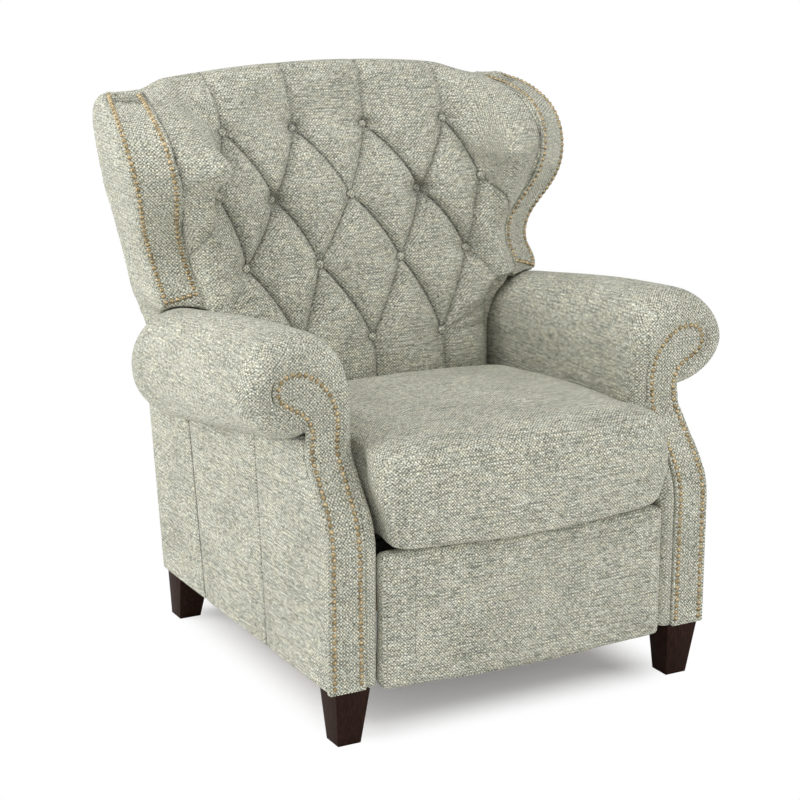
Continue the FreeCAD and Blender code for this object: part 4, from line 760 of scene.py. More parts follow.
# %% [markdown]
# ## Buttons and pleats
# The buttons stand about 160 mm apart in staggered rows. Their places are given for one half of the
# back and mirrored. Each pleat runs between two buttons, or from a button to the crown, to the seat
# or to a wing, and is given with how deep it is half way.

# %% Places of the buttons and runs of the pleats
BUTTONS = {"a": (77.0, 368.0, 951.0), "b": (240.0, 333.0, 956.0), "c": (0.0, 267.0, 829.0),
           "d": (158.0, 292.0, 827.0), "e": (286.0, 252.0, 848.0), "f": (88.0, 226.0, 705.0),
           "g": (239.0, 234.0, 709.0), "h": (0.0, 177.0, 563.0), "i": (153.0, 177.0, 560.0)}
ENDS = {"crown_a": (82.0, 1062.0), "crown_b": (250.0, 1058.0), "seat_h": (0.0, 425.0),
        "seat_i": (153.0, 425.0), "wing_e": (349.0, 734.0), "wing_g": (292.0, 640.0),
        "fold_1": (274.0, 612.0), "fold_2": (272.0, 566.0)}
PLEATS = [("a", "c", 19), ("a", "d", 22), ("b", "d", 19), ("b", "e", 28), ("c", "f", 20), ("d", "f", 20),
          ("d", "g", 23), ("e", "g", 20), ("f", "h", 20), ("f", "i", 23), ("g", "i", 20),
          ("a", "crown_a", 14), ("b", "crown_b", 13), ("h", "seat_h", 17), ("i", "seat_i", 17),
          ("e", "wing_e", 13), ("g", "wing_g", 9), ("i", "fold_1", 7), ("i", "fold_2", 6)]
print(len(BUTTONS), "buttons and", len(PLEATS), "pleats are given for one half")

# %% Their places on the cloth
centre_z, rising = skin[:, 0, 2], row_at <= ridge_at
OVER_RIDGE = 6.0


def climb(z):
    """Distance up the cloth for a height in front of the ridge."""
    return float(np.interp(z, centre_z[rising], row_at[rising]))


def undimpled_depth(x, z):
    """Depth of the undimpled shape at a place."""
    row = int(np.argmin(np.abs(centre_z[rising] - z)))
    return float(np.interp(x, skin[row, :, 0], skin[row, :, 1]))


spots, sinks = {}, {}
for key, (x, y, z) in BUTTONS.items():
    spots[key] = (x, climb(z))
    sinks[key] = y - undimpled_depth(x, z)
for key, (x, z) in ENDS.items():
    at_crown = key.startswith("crown")
    spots[key] = (x, ridge_at + OVER_RIDGE if at_crown else climb(z))
    sinks[key] = 1.0 if at_crown else 0.5
print("button depths:", {key: round(sinks[key], 1) for key in BUTTONS})

# %% [markdown]
# ## Pushing the cloth in
# Near a button the cloth drops steeply, like a cone with a flat bottom. Across a pleat it drops in
# a sharp V. The deepest of all these wins, through a high power mean, so the meetings stay soft.
# The same distances also set painted shade, kept as an attribute, which the tweed reads to darken the
# bottom of a fold.

# %% How the cloth drops at buttons and pleats
GRIP, CONE, PUFF, REACH, POWER = 6.0, 17.0, 60.0, 26.0, 9.0
V_SHARE, V_REACH, BOW_DOWN_RIGHT, BOW_DOWN_LEFT, FULL_BOW = 0.28, 9.0, 9.0, 3.0, 14.0
PUCKERS, PUCKER_DEPTH, PUCKER_AT, PUCKER_REACH = 13.0, 1.5, 17.0, 10.0
# how dark the painted shade is: at the ring round a button, in the two ways of pleats with their widths,
# and on the slopes
RING_DARK, RING_AT, RING_WIDE = 0.5, 8.0, 2.6
DARK_RIGHT, DARK_LEFT, FULL_DARK, BUTTON_CLEAR = (0.95, 2.3), (0.55, 2.6), 16.0, 9.0
SLOPE_SHADE, FULL_SLOPE = 0.50, 26.0


def puffed(away, reach):
    """One at the bottom of a fold, falling to nothing where the padding is full, like a cushion."""
    share = np.clip(1.0 - away / reach, 0.0, 1.0)
    return 1.0 - np.sqrt(1.0 - share ** 2)


def button_dips(x_here, total, fold):
    """Add the cones of the buttons, and the fine puckers round each one."""
    pucker = np.zeros_like(x_here)
    for key in BUTTONS:
        for mirror in (1.0, -1.0):
            bx, bs = spots[key][0] * mirror, spots[key][1]
            if mirror < 0 and bx == 0.0:
                continue
            away = np.hypot(x_here - bx, s_all - bs)
            total += (sinks[key] * np.exp(-(np.maximum(away - GRIP, 0.0) / CONE) ** 0.85)) ** POWER
            angle = np.arctan2(s_all - bs, x_here - bx)
            under = 0.6 + 0.4 * np.sin(-angle)
            ripple = bell(away - PUCKER_AT, PUCKER_REACH) * np.cos(PUCKERS * angle + bx) * under
            pucker += PUCKER_DEPTH * ripple
            # painted shade: a dark ring at the button's edge, and dark puckers
            dark = np.maximum(bell(away - RING_AT, RING_WIDE), np.clip(ripple, 0.0, 1.0) ** 2)
            fold = np.maximum(fold, RING_DARK * dark)
    return total, fold, pucker


def pleat_dips(x_here, total, fold):
    """Add the folds between the buttons, each bowed to one side as folded cloth is."""
    for first, second, half_way in PLEATS:
        for mirror in (1.0, -1.0):
            ax, a_s = spots[first][0] * mirror, spots[first][1]
            bx, bs = spots[second][0] * mirror, spots[second][1]
            if mirror < 0 and ax == 0.0 and bx == 0.0:
                continue
            length = math.hypot(bx - ax, bs - a_s)
            ux, us = (bx - ax) / length, (bs - a_s) / length
            rightwards = abs(ux) > 0.2 and ux * -us > 0.0
            along = np.clip(((x_here - ax) * ux + (s_all - a_s) * us) / length, 0.0, 1.0)
            from_a, from_b = along * length, (1.0 - along) * length
            bow = BOW_DOWN_RIGHT if rightwards else BOW_DOWN_LEFT
            bow = 4.0 * bow * along * (1.0 - along) * min(1.0, half_way / FULL_BOW)
            nx, ns = (-us, ux) if -us > 0.0 else (us, -ux)
            away = np.hypot(x_here - ax - along * (bx - ax) - bow * nx,
                            s_all - a_s - along * (bs - a_s) - bow * ns)
            deep = (half_way + (sinks[first] - half_way) * np.exp(-from_a / REACH)
                    + (sinks[second] - half_way) * np.exp(-from_b / REACH))
            shape = (1.0 - V_SHARE) * puffed(away, PUFF) + V_SHARE * np.exp(-away / V_REACH)
            total += (np.maximum(deep, 0.0) * shape) ** POWER
            # painted shade along the bottom of the pleat, stronger and narrower for pleats that run down
            # to the right, and faded out near the first button
            dark, width = DARK_RIGHT if rightwards else DARK_LEFT
            dark = dark * min(1.0, half_way / FULL_DARK) * ramp(from_a, 0.0, BUTTON_CLEAR)
            fold = np.maximum(fold, dark * bell(away, width))
    return total, fold


def tuft(x_here):
    """Depth, and the painted shade of the folds, for columns at these places, on one side of the chair.
    """
    total, fold, pucker = button_dips(x_here, np.zeros_like(x_here), np.zeros_like(x_here))
    total, fold = pleat_dips(x_here, total, fold)
    depth = total ** (1.0 / POWER)
    # painted shade: the padding shades its own slopes, so the tone is darkened towards the folds
    fold = np.maximum(fold, SLOPE_SHADE * np.clip(depth / FULL_SLOPE, 0.0, 1.0) ** 1.5)
    return depth + pucker, fold


# %% [markdown]
# ## Where the back passes the arms, the wings and the crown
# The pad's lower sides roll back to pass between the arms. The chair on the photo is hand work, and
# its two sides differ: on the left the cloth stays full down to the arm and bulges more over the
# fold beside the outer buttons, and on the right the crown slopes down to the wing sooner. So each
# of these forms is worked out once, with positive x, and given to a side as it needs it.

# %% Rolled edge, seam beside the band, sloping crown
NOTCH_X, NOTCH_WIDE, NOTCH_FROM, NOTCH_TO, ROLL_BACK_TOP = 265.0, 80.0, 588.0, 658.0, 660.0
FULL_FROM, FULL_TO = 598.0, 634.0
over_arm = ramp(z_all, NOTCH_FROM, NOTCH_TO)
notch_x = NOTCH_X + NOTCH_WIDE * (1.0 - np.sqrt(1.0 - over_arm ** 2))
roll_size = np.interp(z_all, (560.0, 660.0, 700.0), (64.0, 22.0, 14.0))
from_notch = np.where(z_all < ROLL_BACK_TOP, np.maximum(notch_x - x_all, 0.0), np.inf)
rolled = roll_size * puffed(from_notch, roll_size)
kept_full = eased(ramp(z_all, FULL_FROM, FULL_TO))
# the push goes backwards, and over the crown it turns downwards
LEAN_FROM, LEAN_TURN = climb(1000.0), math.radians(80.0)
lean = np.clip((s_all - LEAN_FROM) / (ridge_at - LEAN_FROM), 0.0, 1.6) * LEAN_TURN
# the last millimetres dip into the seam beside the nailed band
WING_WIDE, SEAM_REACH, SEAM_DIP, SEAM_DARK = 90.0, 4.0, 5.0, 3.4
to_seam = (1.0 - np.concatenate([np.zeros(PAD_COLUMNS + 1), shares])) * WING_WIDE
on_wing = (np.arange(x_all.shape[1]) > PAD_COLUMNS) & (s_all < ridge_at - 10.0)
dip = np.where(on_wing, np.exp(-to_seam / SEAM_REACH), 0.0)
# the right crown's slope down to the wing, which starts nearer to the middle than the left one's
SLOPE_FROM, SLOPE_TO, SLOPE_FOOT = 250.0, 386.0, 960.0
slope = eased(ramp(x_all, SLOPE_FROM, SLOPE_TO))
sooner = np.maximum(crown_top(x_all) - arch(x_all) - (WING_TOP - arch(x_all)) * slope, 0.0)
sooner *= ramp(s_all, climb(SLOPE_FOOT), ridge_at) * ramp(s_all, row_at[-1], ridge_at)
print("the right crown comes down by up to", round(float(sooner.max()), 1), "mm")

# %% The wing's bulge and the painted shade beside it
BULGE_Z, BULGE_IN, BULGE_OUT, RIGHT_BULGE, BESIDE_SHADE = 905.0, 26.0, 42.0, 0.35, 0.40
BULGE_UP, BULGE_DOWN, SHADE_UP, SHADE_DOWN = 62.0, 37.0, 70.0, 48.0
past_peak = s_all - climb(BULGE_Z)
bulge = eased(ramp(x_all, 258.0, 308.0)) * (1.0 - eased(ramp(x_all, 318.0, 392.0)))
bulge *= bell(past_peak, np.where(past_peak > 0.0, BULGE_UP, BULGE_DOWN))
# painted shade in the recess beside the left wing's bulge, where the bulge would cast its shadow
beside = BESIDE_SHADE * (ramp(x_all, 200.0, 245.0) * ramp(x_all, 282.0, 274.0)) ** 1.5
beside *= bell(past_peak, np.where(past_peak > 0.0, SHADE_UP, SHADE_DOWN))
print("the left wing stands out by up to", round(float(BULGE_OUT * bulge.max()), 1), "mm")

# %% One side of the cloth
def tucked_in(side):
    """One side of the cloth, given with positive x, and how much painted shade each point gets."""
    depth, shade_mark = tuft(x_all * side)
    swell = bulge * (1.0 if side < 0 else RIGHT_BULGE)
    back = rolled if side > 0 else rolled * (1.0 - kept_full)
    drop = sooner if side > 0 else 0.0
    y = skin[:, :, 1] + depth * np.cos(lean) + back + SEAM_DIP * dip - BULGE_OUT * swell
    places = np.stack([x_all - BULGE_IN * swell, y, z_all - depth * np.sin(lean) - drop], axis=2)
    # the painted shade beside the bulge goes on the left side only
    if side < 0:
        shade_mark = np.maximum(shade_mark, beside)
    # painted shade: a dark line along the seam beside the nailed band
    return places, np.maximum(shade_mark, 0.95 * bell(to_seam, SEAM_DARK) * (dip > 0.0))


# %% [markdown]
# ## Closing the inside back
# The lower corners are trimmed to a curve that keeps 4 mm clear of the arms' rolls, so the back can
# recline. A few rows behind the padding and the two ends close the shape.

# %% Trimming along the arms and closing behind
ROLL_MIDDLE, ROLL_CLEAR_HALF, ROLL_CLEAR, UNDER_CLEAR = 382.5, 101.5, 4.0, 8.0
TRIM_FROM, TRIM_HALF_WAY, TRIM_ROW_Z, PAD_FOOT = 278.0, 0.485, 640.0, 340.0
BEHIND, END_SHRINK = 44.6, 0.8
trim_top, trim_bottom = crest(CREST_END) + ROLL_CLEAR, roll_bottom(CREST_END) - UNDER_CLEAR


def lowest(x):
    """Height below which a column beside the arms is trimmed away."""
    middle = trim_bottom + TRIM_HALF_WAY * (trim_top - trim_bottom)
    share = np.clip((ROLL_MIDDLE - x) / ROLL_CLEAR_HALF, 0.0, 1.0)
    curve = middle + (trim_top - middle) * np.sqrt(1.0 - share ** 2)
    return np.where(x > TRIM_FROM, curve, PAD_FOOT)


trim_row = int(np.argmin(np.abs(centre_z - TRIM_ROW_Z)))
floor_z = lowest(x_all[trim_row])


def closed_loop(side):
    """Trim one side along the arm's notch and carry it round behind the padding."""
    tucked, shade_mark = tucked_in(side)
    for j in range(tucked.shape[1]):
        below = np.nonzero((tucked[:, j, 2] < floor_z[j]) & rising)[0]
        if len(below):
            k = below[-1]
            share = (floor_z[j] - tucked[k, j, 2]) / (tucked[k + 1, j, 2] - tucked[k, j, 2])
            tucked[:k + 1, j] = tucked[k, j] + share * (tucked[k + 1, j] - tucked[k, j])
    closing = []
    x = tucked[-1, :, 0]
    x = np.where(x > ROOT_X, ROOT_X + (x - ROOT_X) * END_SHRINK, x)
    for z in (np.inf, 960.0, 850.0, 700.0, 600.0, 480.0, PAD_FOOT):
        height = np.maximum(np.minimum(z, low_z), floor_z)
        closing.append(np.stack([x, back_rear(height) - BEHIND, height], axis=1))
    return (np.concatenate([tucked, np.array(closing)]),
            np.concatenate([shade_mark, np.zeros((len(closing), shade_mark.shape[1]))]))


print("trimmed from", round(float(floor_z.max()), 1), "mm down beside the arms")

# %% Both sides as one closed piece
END_MERGE = 0.04
right_loop, right_fold = closed_loop(1)
left_loop, left_fold = closed_loop(-1)
whole = np.concatenate([left_loop[:, :0:-1] * (-1.0, 1.0, 1.0), right_loop], axis=1)
whole_fold = np.concatenate([left_fold[:, :0:-1], right_fold], axis=1)
tall, wide = whole.shape[:2]
faces = [(j * wide + i, j * wide + i + 1, (j + 1) % tall * wide + i + 1, (j + 1) % tall * wide + i)
         for j in range(tall) for i in range(wide - 1)]
faces.append(tuple(j * wide for j in range(tall)))
faces.append(tuple(j * wide + wide - 1 for j in range(tall - 1, -1, -1)))
inside_back = mesh_piece("inside_back", whole.reshape(-1, 3), faces, whole_fold.ravel(), END_MERGE)
fit(inside_back, "back", tweed_across, ["back_pad", "left_wing", "right_wing"])

# %% [markdown]
# ## Covered buttons
# Each button is a metal shell covered with the same cloth and pulled down by twine. A ball is
# flattened once, then copied to each bed and turned to face the way the cloth does there. The cloth
# closes round it, so only its dome is seen.

# %% One covered button
BUTTON_R, BUTTON_H, BUTTON_STAND, BED_REACH = 8.0, 4.8, 5.0, 6.0
bpy.ops.object.select_all(action="DESELECT")
bpy.ops.mesh.primitive_uv_sphere_add(segments=28, ring_count=16, radius=BUTTON_R * MM)
button = bpy.context.object
bpy.ops.object.mode_set(mode="EDIT")
bpy.ops.transform.resize(value=(1.0, 1.0, BUTTON_H / BUTTON_R))
bpy.ops.object.mode_set(mode="OBJECT")
bpy.ops.object.shade_smooth()
print("button:", len(button.data.polygons), "faces")

# %% A button in every bed
front = whole[:len(row_at)]
covered = []
for key, (x, y, z) in BUTTONS.items():
    for mirror in (1.0, -1.0):
        if mirror < 0 and x == 0.0:
            continue
        row = int(np.argmin(np.abs(row_at - spots[key][1])))
        tilt = skin[row + 6, 0, 1:] - skin[row - 6, 0, 1:]
        outwards = Vector((0.0, -float(tilt[1]), float(tilt[0]))).normalized()
        turn = Vector((0.0, 0.0, 1.0)).rotation_difference(outwards)
        near = np.hypot(front[:, :, 0] - mirror * x, front[:, :, 2] - z) < BED_REACH
        bed = Vector((mirror * x, float(front[:, :, 1][near].mean()) - BUTTON_STAND, z))
        copy = bpy.data.objects.new("button_" + key, button.data.copy())
        copy.data.transform(turn.to_matrix().to_4x4())
        copy.data.transform(Matrix.Translation(bed * MM))
        scene.collection.objects.link(copy)
        covered.append(copy)
bpy.data.meshes.remove(button.data)
buttons = joined(covered, "covered_buttons")
fit(buttons, "back", tweed_pebble, ["tuft_buttons"])

# %% [markdown]
# ## Wings
# The outer side of a wing is plain cloth over a wooden ear. The CAD wing is copied, remeshed and
# smoothed. Where the inside cloth covers it, its surface is drawn 3.5 mm under that cloth, so only
# one of the two ever shows. The nailed band on its front edge is a separate padded strip. The lower
# ends of both hang a little lower than the board, down to the arm.

# %% The face of the inside cloth, to measure from
inside_points = points(inside_back)
front_faces = []
for polygon in inside_back.data.polygons:
    middle = Vector(polygon.center) / MM
    before_rear = middle.y < float(back_rear(middle.z)) - 40.0
    on_face = before_rear or middle.z > float(panel_top(middle.x)) + 2.0
    if on_face and abs(polygon.normal.x) < 0.97:
        front_faces.append(tuple(polygon.vertices))
cover = BVHTree.FromPolygons([Vector(p) for p in inside_points], front_faces)
print("faces on the inside cloth's front:", len(front_faces))

# %% Wing shells under the inside cloth, and the nailed bands
UNDER, NEAR_ENOUGH, LOOK, SEAM_IN, TOP_SEAM_IN, WING_CORNER_Z = 3.5, 22.0, 24.0, 2.5, 2.0, 1026.0
LOW_HANG, SHELL_HANG_Z, BAND_HANG_Z = 4.5, (690.0, 660.0), (680.0, 660.0)


def under_cloth(place):
    """The same place, or one just under the inside cloth where that covers it."""
    if place[2] < WING_CORNER_Z:
        seam_x = seam_corner(place[2])[0] - SEAM_IN
    else:
        seam_x = corner_x - TOP_SEAM_IN
    near, out, _, gap = cover.find_nearest(Vector(place), LOOK)
    if abs(place[0]) > seam_x or near is None:
        return place
    above = (Vector(place) - near).dot(out)
    return np.array(near - out * UNDER) if above > -UNDER and gap < NEAR_ENOUGH else place


for _, word in SIDES:
    shell = padded_copy(word + "_wing", word + "_wing_side", voxel=4.0, rounds=5)
    moved = np.array([under_cloth(place) for place in points(shell)])
    moved[:, 2] -= LOW_HANG * ramp(moved[:, 2], *SHELL_HANG_Z)
    set_points(shell, moved)
    modify(shell, "SMOOTH", factor=0.4, iterations=2)
    fit(shell, "back", tweed_along, [word + "_wing"])
    strip = padded_copy(word + "_wing_facing", word + "_wing_band", voxel=1.6, rounds=3)
    hung = points(strip)
    hung[:, 2] -= LOW_HANG * ramp(hung[:, 2], *BAND_HANG_Z)
    set_points(strip, hung)
    fit(strip, "back", tweed_pebble, [word + "_wing_facing"])

# %% [markdown]
# ## Rear of the chair
# The outside of the back and the panel below it are cloth over board, so their edges are soft but
# their faces stay nearly flat.

# %% Outside back and lower rear panel
REAR_SWELL, SWELL_FOOT, SWELL_TALL, SIDE_HALF = 3.0, 250.0, 790.0, 420.0
TURN_ALL, TURN_LOW, TURN_X, CLOTH_DROP, DROP_Z = 0.008, 0.04, (290.0, 350.0), 27.0, (310.0, 250.0)
outside = padded_copy("back_panel", "outside_back", voxel=4.5, rounds=2)
swollen = points(outside)
x, z = np.abs(swollen[:, 0]), swollen[:, 2]
swell = REAR_SWELL * (1.0 - np.minimum(x / SIDE_HALF, 1.0) ** 4)
swell *= np.sin(math.pi * np.clip((z - SWELL_FOOT) / SWELL_TALL, 0.0, 1.0))
swollen[:, 1] += np.where(normals(outside)[:, 1] > 0.8, swell, 0.0)
# below the wings the panel's sides turn in towards the arms
turn_in = TURN_ALL + TURN_LOW * ramp(z, 650.0, 560.0) * ramp(z, 552.0, 572.0)
swollen[:, 0] *= 1.0 - turn_in * ramp(x, *TURN_X)
# the cloth hangs lower than the board, to close the gap over the rear panel
swollen[:, 2] -= CLOTH_DROP * ramp(z, *DROP_Z)
set_points(outside, swollen)
fit(outside, "back", tweed_across, ["back_panel"])
lower = padded_copy("lower_rear_panel", "lower_rear_cloth", voxel=2.6, rounds=2)
fit(lower, "base", tweed_across, ["lower_rear_panel"])

# %% [markdown]
# ## Seat cushion and footrest
# The loose cushion is a foam core in a down wrap, so it is plump, with no welt, and its edges are
# fully round. The footrest is a thinner pad on a board. Air pressure in Blender's Cloth fills each
# one as stuffing fills a case: the shape starts slightly small and each point may move only so far.
# The parts that lie on something are then held to it.

# %% Filling a case with air
def fill_with_air(obj, pressure, cap, steps=20):
    """Blow a closed mesh up gently; no point moves more than cap millimetres."""
    start = points(obj)
    pick(obj)
    cloth = obj.modifiers.new("cloth", "CLOTH")
    wool = cloth.settings
    wool.quality = 5
    wool.mass = 0.3
    wool.tension_stiffness = wool.compression_stiffness = 12.0
    wool.bending_stiffness = 0.6
    wool.use_pressure = True
    wool.uniform_pressure_force = pressure
    wool.effector_weights.gravity = 0.0
    for number in range(1, steps + 1):
        scene.frame_set(number)
    blown = points(obj.evaluated_get(bpy.context.evaluated_depsgraph_get()))
    obj.modifiers.remove(cloth)
    scene.frame_set(1)
    move = blown - start
    far = np.linalg.norm(move, axis=1)
    move *= np.minimum(1.0, cap / np.maximum(far, 1e-6))[:, None]
    set_points(obj, start + move)
    print(obj.name, "moved by up to", round(float(np.minimum(far, cap).max()), 1), "mm")


def refit(places, low, high):
    """Stretch points so that their box is the wanted one."""
    size = places.max(axis=0) - places.min(axis=0)
    return low + (places - places.min(axis=0)) / size * (high - low)


def shrunk(places, low, high, by):
    """The same points, by millimetres smaller over all in each direction."""
    middle = 0.5 * (low + high)
    return middle + (places - middle) * (1.0 - by / (high - low))


# %% The seat cushion
PRESSURE, CUSHION_ROOM, CUSHION_CAP = 4.0, 12.0, 11.0
SPREAD, SPREAD_X, BEHIND_FRONT, BEFORE_FRONT = 18.0, (100.0, 280.0), 4.0, 41.0
LIP, LIP_Y, LIP_UP, CUSHION_HALF = 25.0, (-370.0, -440.0), 90.0, 281.0
LESS_LEFT, LESS_RIGHT = 0.05, 0.6
cushion = padded_copy("seat_cushion", "seat_cushion_case", voxel=6.5, rounds=5)
low, high = (np.array(corner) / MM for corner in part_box("seat_cushion"))
case = refit(points(cushion), low, high)
set_points(cushion, shrunk(case, low, high, CUSHION_ROOM))
fill_with_air(cushion, PRESSURE, CUSHION_CAP)
set_points(cushion, 0.5 * case + 0.5 * refit(points(cushion), low, high))
modify(cushion, "SMOOTH", factor=0.5, iterations=8)
modify(cushion, "SUBSURF", levels=1, render_levels=1)
plump = refit(points(cushion), low, high)
x, y, z = plump.T
# its front lip hangs over the footrest's top edge, and less at its right end than at its left one
less = np.where(x < 0.0, LESS_LEFT, LESS_RIGHT) * ramp(np.abs(x), 0.0, CUSHION_HALF) ** 3
hang = ramp(y, *LIP_Y) ** 1.3 * (1.0 - less)
plump[:, 2] -= LIP * hang * ramp(z, low[2] + LIP_UP, low[2])
# in front of the arms nothing holds it in, so it spreads sideways there
arm_front = np.array([sweep_front(height) for height in z])
spread = ramp(y, arm_front + BEHIND_FRONT, arm_front - BEFORE_FRONT) * ramp(np.abs(x), *SPREAD_X) ** 2
plump[:, 0] += SPREAD * np.sign(x) * spread
set_points(cushion, plump)
modify(cushion, "SMOOTH", factor=0.5, iterations=2)
fit(cushion, "seat", tweed_across, ["seat_cushion"])

# %% The footrest's pad
REST_ROOM, REST_CAP = 6.0, 8.0
REST_HALF, REST_FACE, REST_CROWN, REST_ROUND, FOOT_CLEAR = 287.0, -407.0, 9.0, 15.0, 5.0
REST_SAG, MIDDLE_SAG, SAG_Z, TOP_LIFT, LIFT_Z = 12.0, 4.0, (230.0, 100.0), 3.5, (270.0, 330.0)
rest = padded_copy("footrest_pad", "footrest_cover", voxel=4.0, rounds=5)
case = points(rest)
low, high = (np.array(corner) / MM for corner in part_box("footrest_pad"))
set_points(rest, shrunk(case, low, high, REST_ROOM))
fill_with_air(rest, PRESSURE, REST_CAP, steps=14)
set_points(rest, 0.5 * case + 0.5 * refit(points(rest), case.min(axis=0), case.max(axis=0)))
modify(rest, "SMOOTH", factor=0.5, iterations=8)
pad = refit(points(rest), low, high)
pad[:, 0] *= REST_HALF / high[0]
# the face is drawn as an even swell with a round edge
side_x, z = np.abs(pad[:, 0]), pad[:, 2].copy()
across, upward = ramp(side_x, 0.0, REST_HALF), ramp(z, low[2], high[2])
inside = np.minimum(REST_HALF - side_x, np.minimum(high[2] - z, z - low[2] - FOOT_CLEAR))
edge = np.clip(REST_ROUND - inside, 0.0, REST_ROUND)
swell = REST_CROWN * (1.0 - across ** 4) * (1.0 - (2.0 * upward - 1.0) ** 4)
face = REST_FACE - swell + REST_ROUND - np.sqrt(REST_ROUND ** 2 - edge ** 2)
forward = ramp(-normals(rest)[:, 1], 0.15, 0.50)
pad[:, 1] += forward * (face - pad[:, 1])
# the padding sags towards the foot, most of all in front and in the middle
to_face = ramp(pad[:, 1], high[1], low[1])
sag = np.minimum(1.0, 0.4 + to_face) * (REST_SAG + MIDDLE_SAG * (1.0 - across ** 2))
pad[:, 2] -= ramp(z, *SAG_Z) * sag
pad[:, 2] += TOP_LIFT * ramp(pad[:, 2], *LIFT_Z)
set_points(rest, pad)
modify(rest, "SMOOTH", factor=0.5, iterations=3)
fit(rest, "footrest", tweed_across, ["footrest_pad"])

# %% [markdown]
# ## Hidden cloth: the seat's deck and the back's webbing
# Under the cushion lies a thin padded deck, and jute straps cross the back's frame behind the
# padding. Both are seen only from below or with the chair open, but they are made as what they are.

# %% Deck pad
deck = padded_copy("seat_deck", "deck_pad", voxel=3.0, rounds=2)
fit(deck, "seat", platform_cloth, ["seat_deck"])

# %% Webbing straps
STRAP_HALF, STRAP_TALL, STRAP_THICK, STRAP_BACK, STRAP_SAG = 270.0, 50.0, 1.6, 43.3, 0.6
STRAP_FEET = (375.0, 465.0, 670.0, 760.0, 850.0)
straps = []
for foot in STRAP_FEET:
    depth_low, depth_high = (float(back_rear(z)) - STRAP_BACK for z in (foot, foot + STRAP_TALL))
    bpy.ops.object.select_all(action="DESELECT")
    bpy.ops.mesh.primitive_grid_add(x_subdivisions=60, y_subdivisions=6, size=1.0)
    strap = bpy.context.object
    bpy.ops.object.mode_set(mode="EDIT")
    bpy.ops.transform.resize(value=(2 * STRAP_HALF * MM, STRAP_TALL * MM, 1.0))
    bpy.ops.object.mode_set(mode="OBJECT")
    lie = points(strap)
    up = (lie[:, 1] + STRAP_TALL / 2) / STRAP_TALL
    sag = STRAP_SAG * np.cos(np.clip(lie[:, 0] / STRAP_HALF, -1, 1) * math.pi / 2)
    depth = depth_low + up * (depth_high - depth_low) - sag
    set_points(strap, np.stack([lie[:, 0], depth, foot + up * STRAP_TALL], axis=1))
    modify(strap, "SOLIDIFY", thickness=STRAP_THICK * MM, offset=0.0)
    straps.append(strap)
webbing = joined(straps, "webbing_straps")
fit(webbing, "back", jute, ["back_webbing"])

# %% [markdown]
# ## Floor, light and camera
# The chair stands on a white floor. The floor takes the chair's shadow near it and fades to plain
# white a little way outside, as in a catalogue picture. A wide soft lamp on the left and a large one
# above give the gentle shading of a studio, and two weaker ones, in front and on the right, open the
# shadows. The level is set so that a colour renders about as it is written. The camera's place was
# worked out from the rows of nail heads.

# %% Floor
FLOOR_LIFT, SHADE_X, SHADE_Y, FADE_TO, FLOOR_RADIUS = 0.16, 0.24, 0.29, 0.14, 9.0
WHITE, PAPER = (1.0, 1.0, 1.0, 1.0), (0.95, 0.95, 0.95, 1.0)
floor_material, tree = new_material("white_studio_floor")
spot = put(tree, "TexCoord").outputs["Object"]
folded = put(tree, "VectorMath", {0: spot}, operation="ABSOLUTE")
past = put(tree, "VectorMath", {0: folded, 1: (SHADE_X, SHADE_Y, 0.0)}, operation="SUBTRACT")
past = put(tree, "VectorMath", {0: past, 1: (0.0, 0.0, 0.0)}, operation="MAXIMUM")
away = put(tree, "VectorMath", {0: past}, operation="LENGTH").outputs["Value"]
fade = put(tree, "MapRange", {"Value": away, "From Min": 0.0, "From Max": FADE_TO},
           interpolation_type="SMOOTHSTEP")
seen = put(tree, "LightPath").outputs["Is Camera Ray"]
amount = put(tree, "Math", {0: fade, 1: seen}, operation="MULTIPLY")
paper = put(tree, "BsdfDiffuse", {"Color": PAPER})
glow = put(tree, "Emission", {"Color": WHITE, "Strength": 1.0})
lift = put(tree, "Math", {0: seen, 1: FLOOR_LIFT}, operation="MULTIPLY")
lit = put(tree, "Emission", {"Color": WHITE, "Strength": lift})
lifted = put(tree, "AddShader", {0: paper, 1: lit})
both = put(tree, "MixShader", {0: amount, 1: lifted, 2: glow})
put(tree, "OutputMaterial", {"Surface": both})
bpy.ops.object.select_all(action="DESELECT")
bpy.ops.mesh.primitive_circle_add(vertices=96, radius=FLOOR_RADIUS, fill_type="NGON")
floor = bpy.context.object
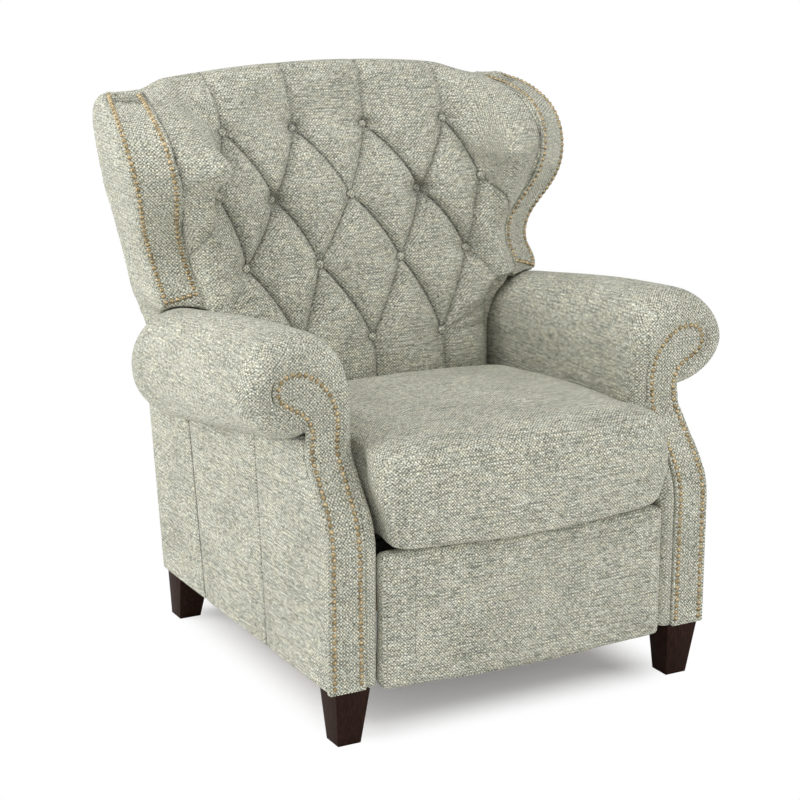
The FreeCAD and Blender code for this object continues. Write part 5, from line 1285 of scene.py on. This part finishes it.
floor.name = "studio_floor"
floor.data.materials.append(floor_material)
print("floor:", 2 * FLOOR_RADIUS, "m across")

# %% White surroundings
WORLD_STRENGTH = 0.40
world = bpy.data.worlds.new("white_studio")
scene.world = world
world.use_nodes = True
tree = world.node_tree
tree.nodes.clear()
path = put(tree, "LightPath").outputs
plain = put(tree, "Math", {0: path["Is Camera Ray"], 1: path["Is Glossy Ray"]}, operation="MAXIMUM")
soft = put(tree, "Background", {"Color": WHITE, "Strength": WORLD_STRENGTH})
white = put(tree, "Background", {"Color": WHITE, "Strength": 1.0})
mix = put(tree, "MixShader", {0: plain, 1: soft, 2: white})
put(tree, "OutputWorld", {"Surface": mix})
print("the surroundings light the chair at", WORLD_STRENGTH, "of white")

# %% Lamps
def lamp(name, place, aim, size, power):
    """A square soft light at a place, aimed at a point, in metres and watts."""
    data = bpy.data.lights.new(name, "AREA")
    data.shape, data.size, data.energy = "SQUARE", size, power
    obj = bpy.data.objects.new(name, data)
    obj.location = place
    obj.rotation_euler = (Vector(aim) - Vector(place)).to_track_quat("-Z", "Y").to_euler()
    scene.collection.objects.link(obj)


lamp("window_left", (-3.7, 1.1, 1.8), (0.0, 0.0, 0.5), 2.8, 94.0)
lamp("overhead", (-0.8, -0.2, 3.8), (0.0, 0.0, 0.4), 2.6, 44.0)
lamp("front_fill", (0.7, -4.5, 1.7), (0.0, 0.0, 0.5), 2.8, 45.0)
lamp("right_fill", (3.4, -2.6, 1.8), (0.0, 0.0, 0.5), 2.2, 34.0)
print("lamps:", len(bpy.data.lights))

# %% Camera
camera = bpy.data.objects.new("camera", bpy.data.cameras.new("camera"))
camera.location = (-1.8017, -3.2821, 1.4530)
camera.rotation_euler = (math.radians(75.3707), 0.0, math.radians(-28.3312))
camera.data.lens, camera.data.sensor_width = 92.705, 36.0
scene.collection.objects.link(camera)
scene.camera = camera
scene.view_settings.view_transform = "Standard"
print("camera at", [round(v, 2) for v in camera.location], "with a lens of", camera.data.lens, "mm")
